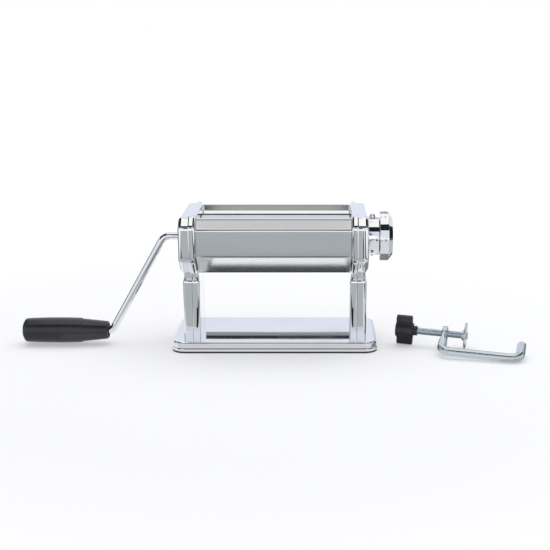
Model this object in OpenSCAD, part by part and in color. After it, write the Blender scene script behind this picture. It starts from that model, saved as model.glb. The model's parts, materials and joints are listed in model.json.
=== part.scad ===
// Hand cranked pasta sheet machine with its loose table clamp.
// Millimetres. The origin is the middle of the underside of the base, +Z up,
// +X towards the thickness dial, and the crank side is -X.

/* [Base] */
// How far the base stands out past the housings at each end
base_side = 10.25; // [8:0.25:16]
// How much shorter the base is than the heads, front to back
base_short = 6.4; // [0:0.2:10]
// Height of the top face of the base above the table
base_h = 10.8; // [10.6:0.1:13]
// Corner radius of the base seen from above
base_corner_r = 14; // [10:0.5:18]
// Sheet thickness of the base tray
base_sheet = 0.8; // [0.6:0.05:1]
// Height of the lower flange of the base
flange_h = 4.2; // [3.6:0.1:5]
// How far the lower flange stands out
flange_out = 1.3; // [1:0.1:2]
// Edge radius round the top of the base
base_edge_r = 2.2; // [1.6:0.1:3]
// Thickness of the non-slip pad under the base
pad_t = 1.2; // [1:0.1:1.6]

/* [Side housings] */
// Clear width between the two side housings
roll_w = 153; // [145:0.5:160]
// Front to back size of the housing heads
head_d = 102.4; // [100:0.2:106]
// Height of the top of the heads above the table
head_top = 138.8; // [132:0.2:146]
// Height of the heads
head_h = 61.3; // [60:0.1:64]
// Upper corner cut of the heads
chamfer_top = 10; // [8:0.5:12]
// Lower corner cut of the heads
chamfer_bottom = 16; // [13:0.5:17]
// Depth of the inner cover, from its flat face to the seam
inner_depth = 6.7; // [6:0.1:7.5]
// Depth of the outer cover, from the seam to its flat face
outer_depth = 10.3; // [10:0.1:12]
// Sheet thickness of the four covers
cover_sheet = 1; // [0.8:0.05:1.1]
// Step at the seam between inner and outer cover
cover_step = 1.5; // [1:0.1:2]
// Edge radius of the outer covers at the heads
dome_r = 6; // [4.5:0.1:6.4]
// Edge radius of the inner covers
inner_edge_r = 2.2; // [1.6:0.1:2.6]
// Front to back size of the legs
leg_d = 53; // [48:0.5:56]
// Height of the necks between the legs and the heads
neck_h = 5.5; // [4.5:0.1:7]
// How far the legs stand inboard of the heads
leg_shift = 1; // [0.6:0.1:1.4]
// Edge radius of the legs
leg_edge_r = 4; // [3:0.1:4.8]
// Front to back size of the necks
neck_d = 42; // [38:0.5:45]
// Thickness of the steel side plates inside the covers
plate_t = 2.5; // [2:0.1:3]

/* [Front and rear panels] */
// Sheet thickness of the panels
panel_sheet = 0.8; // [0.6:0.05:1]
// How far the upright faces of the panels lie inside the heads' ends
panel_in = 5.2; // [4.7:0.1:6.2]
// Radius of the rolled bead along the top of the front panel
bead_r = 1.4; // [1:0.1:1.6]
// Radius of the tie rods
tie_r = 3.2; // [2.9:0.1:3.4]

/* [Rollers] */
// Radius of both rollers
roller_r = 15.35; // [15:0.05:15.6]
// Gap between the rollers at the thinnest setting
nip = 0.3; // [0.2:0.05:0.5]
// How far the roller axes lie below the top of the heads
roller_drop = 25.5; // [24.8:0.1:26.2]
// Radius of the roller journals
journal_r = 6.5; // [6:0.1:6.8]
// Running clearance of a shaft in its bore, on the radius
running = 0.04; // [0.03:0.01:0.06]
// How far the rear roller moves back at the thickest setting
gap_travel = 2.2; // [1.8:0.1:2.4]
// Turn of the dial from the first to the last setting, in degrees
dial_turn = 240; // [210:5:240]
// Number of dial settings
dial_steps = 9; // [7:1:9]
// Number of teeth on each roller gear
gear_teeth = 12; // [10:2:14]
// Width of the roller gears
gear_w = 7; // [6:0.1:7.4]

/* [Crank] */
// Radius of the crank rod
rod_r = 3.7; // [3.4:0.05:3.9]
// Distance of the grip axis from the crank axis
crank_r = 98.5; // [96:0.5:99]
// Distance from the middle of the machine to the crank's upper corner
crank_top_x = 110.8; // [108:0.2:116]
// Distance from the middle of the machine to the crank's lower corner
crank_low_x = 166.8; // [160:0.2:172]
// Centre line radius of the crank's upper bend
crank_bend_r = 11; // [9:0.5:14]
// Centre line radius of the crank's lower bend
crank_low_r = 6.5; // [5.5:0.5:8]
// Length of the grip
grip_len = 86.5; // [80:0.5:95]
// Largest radius of the grip
grip_r = 12.95; // [12:0.05:13.4]
// Radius of the grip's narrow end
grip_neck_r = 8.9; // [8.2:0.1:9.6]
// Length of the tapered collar at the grip's narrow end
grip_collar = 27.5; // [22:0.5:32]

/* [Dial] */
// Radius of the fixed collar behind the dial
collar_r = 18.8; // [18:0.1:19.5]
// Length of the fixed collar
collar_len = 10.8; // [10.4:0.1:12]
// Radius of the dial's rim
dial_r = 24.6; // [23:0.1:26]
// Length of the dial's straight rim
dial_rim = 8.9; // [8:0.1:10]
// Length of the dial's front bevel
dial_bevel = 4.1; // [3.8:0.1:4.6]
// Radius of the dial's front face
dial_face_r = 19.4; // [18.5:0.1:20.5]
// How far the dial pulls out against its spring
dial_pull = 3.2; // [2.6:0.1:3.2]
// Radius of the dial shaft
dial_shaft_r = 4.5; // [4.2:0.1:4.8]

/* [Table clamp] */
// Radius of the bent rod of the clamp
hook_r = 4.5; // [4.2:0.05:4.5]
// Length of the clamp's long run, between the rod axes of its two arms
hook_run = 77.4; // [72:0.2:90]
// Distance from the long run to the clamp screw's axis
eye_arm = 33.6; // [32:0.2:40]
// Length of the arm that plugs into the base, from the axis of the run
plug_arm = 26.2; // [22:0.2:28]
// Radius of the rod's two bends
hook_bend_r = 9; // [8:0.5:11]
// Radius of the clamp screw
screw_r = 3.7; // [3.4:0.05:3.8]
// Radius of the clamp's pressure disc
disc_r = 13; // [11:0.1:13.4]
// Half of the span of the clamp knob's wings
wing_r = 16.4; // [15:0.1:16.6]
// Size of the wing knob along its screw
wing_len = 16; // [14:0.5:18]
// Distance from the eye back to the middle of the wing knob
knob_back = 41.2; // [40:0.2:50]
// Distance from the eye forward to the pressure disc
disc_forward = 20.6; // [17:0.2:22]

/* [Hidden] */
$fn = 72;

// One overrun for every cut and one gap between faces that only lie close
cut = 1;
face_gap = 0.3;
// Steps of small angles for computed outlines
arc_step = 5;

// Base
base_edge_low_r = 0.8;
pad_inset = 0.5;
pad_rib_w = 2;
pad_rib_gap = 0.3;
base_screw_r = 2.3;
base_screw_head_r = 4.6;
base_screw_head_h = 2.4;
base_screw_y = 14;
foot_t = 2.5;
foot_w = 12.6;
foot_hole_gap = 0.05;

// Clamp socket
socket_clear = 0.15;
socket_sheet = 0.75;
socket_depth = 25;
socket_wing = 5.6;
socket_r = hook_r + socket_clear;
socket_out_r = socket_r + socket_sheet;
socket_roof = base_h - base_sheet;

// Side housings
half = roll_w / 2;
seam_x = half + inner_depth;
outer_x = seam_x + outer_depth;
base_w = 2 * (outer_x + base_side);
base_d = head_d - base_short;
head_bottom = head_top - head_h;
leg_top = head_bottom - neck_h;
roller_z = head_top - roller_drop;
leg_in_x = half - leg_shift;
leg_out_x = outer_x - leg_shift;
neck_in_x = half;
neck_out_x = leg_out_x - leg_shift;
neck_lap = 4;
head_mid_z = (head_top + head_bottom) / 2;
plate_x = half + cover_sheet;
plate_out_x = plate_x + plate_t;
plate_inset = 3.4;
plate_leg_inset = 6;

// Panels and what ties the sides together
panel_y = head_d / 2 - panel_in;
panel_top_in = 13.4;
panel_top_drop = 3.8;
panel_bend_drop = 13.7;
panel_low_rise = 20.9;
panel_foot_in = 16.5;
panel_foot_rise = 1.3;
panel_lip = 6;
chute_in = 20.5;
chute_drop = 11;
rear_lip_in = 9;
rear_lip_drop = 1.8;
rear_lip_low = 9.6;
rear_chute_in = 11.4;
rear_chute_drop = 12.6;
panel_top_y = panel_y - panel_top_in;
panel_foot_y = panel_y - panel_foot_in;
panel_top_z = head_top - panel_top_drop;
panel_bend_z = head_top - panel_bend_drop;
panel_low_z = head_bottom + panel_low_rise;
panel_foot_z = head_bottom + panel_foot_rise;
tie_gap = 0.05;
tie_y = panel_y - panel_sheet / 2 - tie_r - tie_gap;
tie_high_drop = 16;
tie_low_rise = 22.9;
tie_high_z = head_top - tie_high_drop;
tie_low_z = head_bottom + tie_low_rise;
tie_neck_r = 2.5;
tie_neck_reach = 5;
nut_flat = 8;
nut_h = 4;
cover_screw_r = 1.9;
cover_screw_head_r = 3.6;
cover_screw_head_h = 1.7;
cover_screw_len = 6;
cover_screw_flush = 0.1;
post_r = 4;
post_neck_r = 2.5;
post_share = 0.38;
post_z = base_h + post_share * (leg_top - base_h);
head_post_y = 33;
head_post_rise = 14.5;
head_post_z = head_bottom + head_post_rise;
scraper_bar_r = 3;
scraper_bar_out = 8.5;
scraper_bar_rise = 11;
scraper_bar_z = head_bottom + scraper_bar_rise;
scraper_t = 0.6;
scraper_side = 1;
scraper_gap = 0.35;

// Rollers, gears and bearings
pitch_r = roller_r + nip / 2;
front_y = -pitch_r;
rear_y = pitch_r;
scraper_bar_y = pitch_r + scraper_bar_out;
roller_end = 0.4;
roller_edge = 0.6;
bush_wall = 2;
bush_flange = 2;
bush_flange_t = 1.2;
bush_r = journal_r + bush_wall;
gear_hub_len = 1.44;
gear_x = plate_out_x + bush_flange_t + gear_hub_len;
gear_hub_r = 9;
gear_side_gap = 0.2;
addendum_share = 0.8;
dedendum_share = 1.05;
pressure_angle = 20;
backlash_angle = 0.7;
flank_steps = 6;
gear_module = 2 * pitch_r / gear_teeth;
gear_base_r = pitch_r * cos(pressure_angle);
gear_tip_r = pitch_r + addendum_share * gear_module;
gear_root_r = pitch_r - dedendum_share * gear_module;
clip_t = 0.8;
clip_side_gap = 0.1;
clip_groove = 0.5;
clip_w = 2;
clip_mouth = 5;
journal_tail = 1;
clip_x = gear_x + gear_w + clip_side_gap;
journal_end_x = clip_x + clip_t + journal_tail;
block_y = 9.5;
block_z = 8;
block_lip = 2.5;
block_lip_t = 2;
block_side_gap = 0.1;
block_fit = 0.05;
window_front = 0.4;
window_rear = 0.5;
spring_slot_z = 2.6;
spring_slot_in = 6.8;
spring_slot_end = head_d / 2 - spring_slot_in;
spring_r = 1.8;
spring_wire_r = 0.35;
spring_turns = 8;
spring_end_gap = 0.1;

// Cam and follower
cam_side_gap = 0.5;
cam_x = plate_out_x + block_side_gap + block_lip_t + cam_side_gap;
cam_w = 6;
cam_gap = 0.05;
follower_r = 2.5;
follower_y = 2.2;
follower_nose_z = 4.5;
cam_low_r = follower_y - front_y - follower_r - cam_gap;
cam_back_off = 0.4;

// Crank
socket_len = 22;
crank_fit = 0.05;
bend_lap = 2;
bend_thin = 0.03;
drive_pin_r = 1.5;
drive_pin_half = 5.5;
drive_slot_gap = 0.1;
drive_pin_x = journal_end_x - drive_pin_r - drive_slot_gap;
crank_bush_r = 8.4;
crank_bush_bore = journal_r + face_gap;
crank_bush_flange = 1.8;
crank_bush_flange_t = 1.2;
crank_slope = 90 - atan((crank_low_x - crank_top_x) / crank_r);
grip_start = crank_low_x + crank_low_r * tan(crank_slope / 2) + face_gap;
grip_z = roller_z - crank_r;
grip_shoulder = 0.6;
grip_barrel_drop = 0.7;
grip_peak_share = 0.4;
grip_round = 3.2;
grip_plug_t = 3.4;
grip_plug_r = 8;
grip_pocket = 5;
grip_pocket_r = 6.6;
retainer_r = 6;
retainer_t = 0.8;
spindle_tail = 1;

// Dial
collar_hub_r = 9;
collar_web = 3.4;
collar_wall = 2.2;
hub_tail = 3.1;
lock_ring_t = 1;
lock_groove = 1;
lock_ring_w = 3;
collar_screw_r = 3.1;
collar_screw_dome = 4.4;
collar_screw_edge = 1.5;
collar_seat = sqrt(pow(collar_r, 2) - pow(collar_screw_r, 2));
collar_screw_shank_r = 1.6;
grub_r = 1.9;
grub_out = 1.2;
collar_screw_share = 0.4;
index_ring_r = 13.6;
index_pin_r = 1.3;
index_pin_out = 1.4;
index_groove = 1.8;
index_pocket = 0.6;
index_clear = 0.3;
index_side = 0.15;
dial_back = seam_x + outer_depth + collar_len + face_gap;
dial_web = 2.5;
dial_front_t = 1.1;
dial_cavity_r = 13.2;
dial_cap_r = 15.4;
cap_groove_share = 0.4;
cap_groove_r = 0.45;
dial_end = dial_back + dial_rim + dial_bevel;
shaft_flat_share = 0.7;
shaft_flange_r = 7;
shaft_recess = 2.97;
shaft_end = dial_end - dial_front_t - shaft_recess;
washer_r = 7.4;
washer_t = 1;
shaft_screw_r = 2;
shaft_screw_head_r = 3.8;
shaft_screw_head_h = 1.2;
shaft_screw_len = 9;
dial_spring_r = 5.9;
dial_spring_wire_r = 0.4;
dial_spring_turns = 3;

// Table clamp, in its own frame: the run lies along x from the eye's corner
clamp_turn_z = -13.2;
clamp_dip = 1.9;
clamp_tilt = 14.4;
clamp_lift = 0.1;
clamp_x = 164.4;
clamp_y = -61.5;
clamp_z = hook_r + clamp_lift + (hook_run - hook_bend_r) * sin(clamp_dip);
eye_r = 7.6;
eye_t = 5.4;
eye_waist = 5;
eye_fit = 0.06;
plug_chamfer = 1;
disc_t = 1.8;
disc_boss_r = 5.2;
disc_boss_t = 3;
screw_tip_r = 2.6;
screw_tip_head_r = 4;
screw_tip_head_t = 1.4;
disc_fit = 0.08;
wing_t = 10.5;
wing_waist_t = 7.5;
wing_hub_r = 7.6;
wing_hub_out = 1;
knob_collar_r = 4.9;
knob_collar_len = 4;
knob_screw_depth = 12;

// Solid of revolution axis along X, from x0 to x1
module rod_x(x0, x1, r) {
    translate([x0, 0, 0]) rotate([0, 90, 0]) cylinder(h = x1 - x0, r = r);
}

// Cone along X, from x0 to x1
module cone_x(x0, x1, r0, r1) {
    translate([x0, 0, 0]) rotate([0, 90, 0]) cylinder(h = x1 - x0, r1 = r0, r2 = r1);
}

// Outline in the Y-Z plane, drawn from x0 to x1
module along_x(x0, x1) {
    translate([x0, 0, 0]) rotate([90, 0, 90]) linear_extrude(height = x1 - x0) children();
}

// Outline in the X-Z plane, drawn from y0 to y1
module along_y(y0, y1) {
    translate([0, y1, 0]) rotate([90, 0, 0]) linear_extrude(height = y1 - y0) children();
}

// Box between two corners
module block(lo, hi) {
    translate(lo) cube(hi - lo);
}

// Parts are drawn for the right-hand side, +X, and mirrored for the left
module on_side(s) {
    if (s < 0) mirror([1, 0, 0]) children();
    if (s > 0) children();
}

// Everything on the axis of one of the rollers
module at_roller(y) {
    translate([0, y, roller_z]) children();
}

// Rectangle with four round corners
module round_rect(w, d, r) {
    for (x = [-1, 1], y = [-1, 1])
        translate([x * (w / 2 - r), y * (d / 2 - r)]) circle(r);
    square([w - 2 * r, d], center = true);
    square([w, d - 2 * r], center = true);
}

// Half plane profile with its outer top corner rounded
module round_corner(w, h, r) {
    square([w, h - r]);
    square([w - r, h]);
    translate([w - r, h - r]) circle(r);
}

// Ring round a rounded rectangle, from a profile whose x runs outwards from
// the centre of each corner
module rim(w, d, r) {
    straight_w = w - 2 * r;
    straight_d = d - 2 * r;
    for (q = [0 : 3]) {
        dx = (q == 0 || q == 3 ? 1 : -1) * straight_w / 2;
        dy = (q == 0 || q == 1 ? 1 : -1) * straight_d / 2;
        translate([dx, dy, 0]) rotate([0, 0, 90 * q]) rotate_extrude(angle = 90) children();
        run = q % 2 == 0 ? straight_d : straight_w;
        translate([dx, dy, 0]) rotate([0, 0, 90 * q]) translate([0, -run, 0])
            rotate([90, 0, 0]) mirror([0, 0, 1]) linear_extrude(height = run) children();
    }
}

// Solid of the tray's outside, drawn in by s all over
module tray_solid(s, low) {
    r = base_corner_r;
    top = base_h - s;
    wide = r - s;
    narrow = r - flange_out - s;
    rim(base_w, base_d, r) {
        translate([0, low]) round_corner(wide, flange_h - s - low, base_edge_low_r);
        translate([0, low]) round_corner(narrow, top - low, base_edge_r);
    }
    translate([0, 0, low]) linear_extrude(height = top - low)
        square([base_w - 2 * r, base_d - 2 * r], center = true);
}

module base_screw_places() {
    for (x = [-1, 1], y = [-1, 1])
        translate([x * (plate_x + foot_w / 2), y * base_screw_y, 0]) children();
}

module socket_place() {
    translate([0, base_d / 2, socket_out_r]) children();
}

module base_tray() {
    color("gainsboro") difference() {
        tray_solid(0, pad_t);
        tray_solid(base_sheet, 0);
        base_screw_places() cylinder(h = base_h + cut, r = base_screw_r + running);
        block([-socket_out_r - running, 0, 0], [socket_out_r + running, base_d, socket_roof]);
    }
}

module base_pad() {
    pad_w = base_w - 2 * pad_inset;
    pad_d = base_d - 2 * pad_inset;
    rib_w = base_w - 2 * (flange_out + base_sheet + pad_rib_gap);
    rib_d = base_d - 2 * (flange_out + base_sheet + pad_rib_gap);
    rib_r = base_corner_r - flange_out - base_sheet - pad_rib_gap;
    rib_top = base_h - base_sheet - base_edge_r;
    color([0.08, 0.08, 0.085]) difference() {
        union() {
            linear_extrude(height = pad_t) round_rect(pad_w, pad_d, base_corner_r - pad_inset);
            linear_extrude(height = rib_top) difference() {
                round_rect(rib_w, rib_d, rib_r);
                round_rect(rib_w - 2 * pad_rib_w, rib_d - 2 * pad_rib_w, rib_r - pad_rib_w);
            }
            for (x = [-1, 1])
                block([x * base_w / 6 - pad_rib_w / 2, -rib_d / 2, 0],
                      [x * base_w / 6 + pad_rib_w / 2, rib_d / 2, base_h - base_sheet]);
            block([-rib_w / 2, -pad_rib_w / 2, 0], [rib_w / 2, pad_rib_w / 2, rib_top]);
        }
        block([-socket_out_r - running, base_d / 2 - socket_depth - running, -cut],
              [socket_out_r + running, base_d, base_h]);
        block([-socket_out_r - socket_wing - running, base_d / 2 - socket_depth - running,
               socket_roof - socket_sheet - running],
              [socket_out_r + socket_wing + running, base_d, base_h]);
    }
}

module clamp_socket() {
    back = base_d / 2 - base_sheet;
    front = base_d / 2 - socket_depth;
    wing_back = back - flange_out - base_edge_r;
    color("silver") {
        along_y(front, back) difference() {
            union() {
                translate([0, socket_out_r]) circle(socket_out_r);
                translate([-socket_out_r, socket_out_r])
                    square([2 * socket_out_r, socket_roof - socket_out_r]);
            }
            translate([0, socket_out_r]) circle(socket_r);
            translate([-socket_r, socket_out_r]) square([2 * socket_r, socket_roof]);
        }
        for (x = [-1, 1])
            along_y(front, wing_back) translate([x * (socket_out_r + socket_wing / 2 - socket_sheet / 2),
                                           socket_roof - socket_sheet / 2])
                square([socket_wing + socket_sheet, socket_sheet], center = true);
    }
}

module base_screws() {
    head_low = base_h - base_sheet - base_screw_head_h;
    color("silver") base_screw_places() {
        translate([0, 0, head_low]) cylinder(h = base_screw_head_h, r = base_screw_head_r);
        translate([0, 0, head_low]) cylinder(h = base_h + foot_t + base_sheet - head_low, r = base_screw_r);
    }
}

// Region on the inner side of one face of the head, its outer edge rounded
module head_face(angle, reach, x0, x1, r) {
    rotate([angle, 0, 0]) linear_extrude(height = 2 * head_d, center = true)
        translate([x0, reach]) mirror([0, 1]) {
            translate([0, r]) square([x1 - x0, 2 * head_d - r]);
            square([x1 - x0 - r, 2 * head_d]);
            translate([x1 - x0 - r, r]) circle(r);
        }
}

// Octagonal head drawn in by s, from x0 to its rounded face at x1
module head_solid(s, x0, x1, r) {
    side = head_d / 2 - s;
    top = head_top - head_mid_z - s;
    low = head_mid_z - head_bottom - s;
    diag_top = (head_d / 2 + head_top - head_mid_z - chamfer_top) / sqrt(2) - s;
    diag_low = (head_d / 2 + head_mid_z - head_bottom - chamfer_bottom) / sqrt(2) - s;
    translate([0, 0, head_mid_z]) intersection() {
        head_face(0, side, x0, x1, r);
        head_face(45, diag_top, x0, x1, r);
        head_face(90, top, x0, x1, r);
        head_face(135, diag_top, x0, x1, r);
        head_face(180, side, x0, x1, r);
        head_face(225, diag_low, x0, x1, r);
        head_face(270, low, x0, x1, r);
        head_face(315, diag_low, x0, x1, r);
    }
}

// Rounded post from x0 to its rounded face at x1, with rounded shoulders
module post_solid(y, z0, z1, x0, x1, r) {
    intersection() {
        translate([0, 0, z0]) linear_extrude(height = z1 - z0) union() {
            translate([x0, -y]) square([x1 - x0 - r, 2 * y]);
            translate([x0, r - y]) square([x1 - x0, 2 * (y - r)]);
            for (side = [-1, 1]) translate([x1 - r, side * (y - r)]) circle(r);
        }
        along_y(-y, y) translate([x0, z0]) round_corner(x1 - x0, z1 - z0, r);
        along_x(x0, x1) union() {
            translate([-y, z0]) square([2 * y, z1 - z0 - r]);
            translate([r - y, z0]) square([2 * (y - r), z1 - z0]);
            for (side = [-1, 1]) translate([side * (y - r), z1 - r]) circle(r);
        }
    }
}

// Whole side of the housing outside the seam, drawn in by s
module outer_side(s, x0, floor_z) {
    head_solid(cover_step + s, x0, outer_x - s, dome_r - s);
    post_solid(leg_d / 2 - cover_step / 2 - s, floor_z, leg_top - s, x0, leg_out_x - s, leg_edge_r - s);
    block([x0, -neck_d / 2 + s, leg_top - neck_lap], [neck_out_x - s, neck_d / 2 - s, head_bottom + neck_lap]);
}

// Whole side of the housing inside the seam, drawn in by s; mirrored so that
// its rounded face looks to the middle of the machine
module inner_side(s, x1, floor_z) {
    mirror([1, 0, 0]) {
        head_solid(s, -x1, -half - s, inner_edge_r - s);
        post_solid(leg_d / 2 - s, floor_z, leg_top - s, -x1, -leg_in_x - s, inner_edge_r - s);
        block([-x1, -neck_d / 2 - cover_step / 2 + s, leg_top - neck_lap],
              [-neck_in_x - s, neck_d / 2 + cover_step / 2 - s, head_bottom + neck_lap]);
    }
}

module tie_places() {
    for (y = [-1, 1], z = [tie_low_z, tie_high_z]) translate([0, y * tie_y, z]) children();
}

module head_post_places() {
    for (y = [-1, 1]) translate([0, y * head_post_y, head_post_z]) children();
}

module scraper_bar_places() {
    for (y = [-1, 1]) translate([0, y * scraper_bar_y, scraper_bar_z]) children();
}

// Slot for a round journal that moves back by travel
module journal_slot(x0, x1, r, travel) {
    rod_x(x0, x1, r);
    translate([0, travel, 0]) rod_x(x0, x1, r);
    block([x0, 0, -r], [x1, travel, r]);
}

module inner_cover(s) {
    x0 = leg_in_x - cut;
    x1 = seam_x + cut;
    color("gainsboro") on_side(s) difference() {
        inner_side(0, seam_x, base_h);
        inner_side(cover_sheet, x1, base_h - cut);
        at_roller(front_y) rod_x(x0, x1, bush_r + running);
        at_roller(rear_y) journal_slot(x0, x1, journal_r + face_gap, gap_travel);
        tie_places() rod_x(x0, x1, tie_neck_r + running);
        scraper_bar_places() rod_x(x0, x1, scraper_bar_r + running);
    }
}

module outer_cover(s) {
    x0 = seam_x;
    x1 = outer_x + cut;
    color("gainsboro") on_side(s) difference() {
        outer_side(0, seam_x, base_h);
        outer_side(cover_sheet, seam_x - cut, base_h - cut);
        at_roller(front_y) rod_x(x0, x1, (s < 0 ? crank_bush_r : collar_hub_r) + running);
        cover_screw_sinks();
    }
}

// Countersunk screw whose head ends a little below the cover's face at x
module cover_screw(x) {
    x1 = x - cover_screw_flush;
    cone_x(x1 - cover_screw_head_h, x1, cover_screw_r, cover_screw_head_r);
    rod_x(x1 - cover_screw_len, x1, cover_screw_r);
}

module cover_screw_sink(x) {
    x1 = x - cover_screw_flush;
    cone_x(x1 - cover_screw_head_h, x1, cover_screw_r + running, cover_screw_head_r + running);
    rod_x(x1, x + cut, cover_screw_head_r + running);
    rod_x(x1 - cover_screw_len - cut, x1, cover_screw_r + running);
}

module cover_screw_sinks() {
    head_post_places() cover_screw_sink(outer_x);
    translate([0, 0, post_z]) cover_screw_sink(leg_out_x);
}

module cover_screws() {
    color("silver") for (s = [-1, 1]) on_side(s) {
        head_post_places() cover_screw(outer_x);
        translate([0, 0, post_z]) cover_screw(leg_out_x);
    }
}

// Round post from the side plate to the outer cover, whose face is at x
module cover_post(x) {
    difference() {
        union() {
            rod_x(plate_out_x, x - cover_sheet, post_r);
            rod_x(plate_x, plate_out_x, post_neck_r);
        }
        cover_screw_sink(x);
    }
}

module cover_posts() {
    color("silver") for (s = [-1, 1]) on_side(s) {
        head_post_places() cover_post(outer_x);
        translate([0, 0, post_z]) cover_post(leg_out_x);
    }
}

// Outline of a side plate in the Y-Z plane
module plate_outline() {
    top = head_top - plate_inset;
    low = head_bottom + plate_inset;
    side = head_d / 2 - plate_inset;
    leg = leg_d / 2 - plate_leg_inset;
    polygon([[-side + chamfer_top, top], [side - chamfer_top, top], [side, top - chamfer_top],
             [side, low + chamfer_bottom], [side - chamfer_bottom, low], [leg, low], [leg, base_h],
             [-leg, base_h], [-leg, low], [-side + chamfer_bottom, low],
             [-side, low + chamfer_bottom], [-side, top - chamfer_top]]);
}

module side_plate(s) {
    x0 = plate_x - cut;
    x1 = plate_out_x + cut;
    leg = leg_d / 2 - plate_leg_inset;
    color("silver") on_side(s) difference() {
        union() {
            along_x(plate_x, plate_out_x) plate_outline();
            block([plate_x, -leg, base_h], [plate_x + foot_w, leg, base_h + foot_t]);
        }
        at_roller(front_y) rod_x(x0, x1, bush_r);
        at_roller(rear_y) {
            block([x0, -block_y - window_front, -block_z - block_fit],
                  [x1, block_y + gap_travel + window_rear, block_z + block_fit]);
            block([x0, 0, -spring_slot_z], [x1, spring_slot_end - rear_y, spring_slot_z]);
        }
        tie_places() rod_x(x0, x1, tie_neck_r + running);
        scraper_bar_places() rod_x(x0, x1, scraper_bar_r + running);
        head_post_places() rod_x(x0, x1, post_neck_r);
        translate([0, 0, post_z]) rod_x(x0, x1, post_neck_r);
        for (y = [-1, 1]) translate([plate_x + foot_w / 2, y * base_screw_y, 0])
            cylinder(h = 2 * base_h, r = base_screw_r + running);
    }
}

module tie_rods() {
    color("silver") tie_places() {
        rod_x(-half, half, tie_r);
        rod_x(-plate_out_x - tie_neck_reach, plate_out_x + tie_neck_reach, tie_neck_r);
    }
}

// Six-sided bar along X, nut_flat across its flats
module hex_x(x0, x1) {
    translate([x0, 0, 0]) rotate([0, 90, 0]) cylinder(h = x1 - x0, d = nut_flat / cos(30), $fn = 6);
}

module tie_nuts() {
    x1 = plate_out_x + nut_h;
    color("silver") for (s = [-1, 1]) on_side(s) tie_places() difference() {
        hex_x(plate_out_x, x1);
        rod_x(plate_x, x1 + cut, tie_neck_r + running);
    }
}

// Bent sheet seen from its end, through the points of its middle line
module sheet_line(points, t) {
    for (i = [0 : len(points) - 2]) {
        a = points[i];
        d = points[i + 1] - a;
        translate(a) rotate(atan2(d[1], d[0])) translate([0, -t / 2]) square([norm(d), t]);
    }
    for (p = points) translate(p) circle(t / 2);
}

module front_panel() {
    color("lightgray") along_x(-half, half) {
        sheet_line([[chute_in - panel_y, head_top - chute_drop], [-panel_top_y, panel_top_z],
                    [-panel_y, panel_bend_z], [-panel_y, panel_low_z], [-panel_foot_y, panel_foot_z],
                    [panel_lip - panel_foot_y, panel_foot_z]], panel_sheet);
        translate([-panel_top_y, panel_top_z]) circle(bead_r);
    }
}

module rear_panel() {
    color("lightgray") along_x(-half, half)
        sheet_line([[panel_y - rear_chute_in, head_top - rear_chute_drop],
                    [panel_y - rear_lip_in, head_top - rear_lip_low],
                    [panel_y - rear_lip_in, head_top - rear_lip_drop], [panel_y, panel_bend_z],
                    [panel_y, panel_low_z], [panel_foot_y, panel_foot_z],
                    [panel_foot_y - panel_lip, panel_foot_z]], panel_sheet);
}

// Spring steel blade under a roller, on its cross bar
module scraper(s) {
    tip_y = s * (rear_y + scraper_side);
    tip_z = roller_z - roller_r - scraper_gap - scraper_t / 2;
    color("silver") {
        along_x(scraper_side - half, half - scraper_side)
            sheet_line([[tip_y, tip_z], [s * scraper_bar_y, scraper_bar_z]], scraper_t);
        translate([0, s * scraper_bar_y, scraper_bar_z]) rod_x(-plate_out_x, plate_out_x, scraper_bar_r);
    }
}

module front_roller_bushes() {
    color("burlywood") for (s = [-1, 1]) on_side(s) at_roller(front_y) difference() {
        union() {
            rod_x(half, plate_out_x, bush_r);
            rod_x(plate_out_x, plate_out_x + bush_flange_t, bush_r + bush_flange);
        }
        rod_x(half - cut, gear_x, journal_r + running);
    }
}

module crank_bush() {
    inner_face = outer_x - cover_sheet;
    color("gainsboro") on_side(-1) at_roller(front_y) difference() {
        union() {
            rod_x(inner_face - crank_bush_flange_t, outer_x, crank_bush_r);
            rod_x(inner_face - crank_bush_flange_t, inner_face, crank_bush_r + crank_bush_flange);
        }
        rod_x(seam_x, outer_x + cut, crank_bush_bore);
    }
}

// Tube of wire swept along a coil round the x axis, as one closed mesh
module coil(x0, length, r, wire_r, turns) {
    sides = 6;
    per_turn = 12;
    rings = turns * per_turn;
    points = [for (i = [0 : rings], j = [0 : sides - 1])
        let (a = 360 * i / per_turn, b = 360 * j / sides, q = r + wire_r * cos(b))
        [x0 + wire_r + (length - 2 * wire_r) * i / rings + wire_r * sin(b), q * cos(a), q * sin(a)]];
    walls = [for (i = [0 : rings - 1], j = [0 : sides - 1])
        let (k = (j + 1) % sides, a = i * sides, b = a + sides)
        each [[a + j, b + k, b + j], [a + j, a + k, b + k]]];
    caps = [for (j = [1 : sides - 2])
        each [[0, j + 1, j], [rings * sides, rings * sides + j, rings * sides + j + 1]]];
    polyhedron(points = points, faces = concat(walls, caps));
}

module block_springs() {
    y0 = block_y + spring_end_gap;
    length = spring_slot_end - rear_y - y0 - spring_end_gap;
    color("silver") for (s = [-1, 1]) on_side(s) at_roller(rear_y)
        translate([plate_x + spring_r + spring_wire_r + block_side_gap, 0, 0]) rotate([0, 0, 90])
            coil(y0, length, spring_r, spring_wire_r, spring_turns);
}

// Sliding bearing of the rear roller; the right one carries the follower
module bearing_block(s) {
    x0 = plate_x + block_side_gap;
    x1 = plate_out_x + block_side_gap;
    x2 = x1 + block_lip_t;
    color("burlywood") on_side(s) at_roller(rear_y) difference() {
        union() {
            block([x0, -block_y, -block_z], [x2, block_y, block_z]);
            block([x1, -block_y, -block_z - block_lip], [x2, block_y, block_z + block_lip]);
            if (s > 0)
                block([x1, follower_y - rear_y - follower_r, -follower_nose_z], [x2, 0, follower_nose_z]);
        }
        rod_x(x0 - cut, x2 + cut, journal_r + running);
        if (s > 0)
            translate([0, follower_y - rear_y, 0]) rod_x(x0, x2 + cut, follower_r / 2);
    }
}

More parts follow.
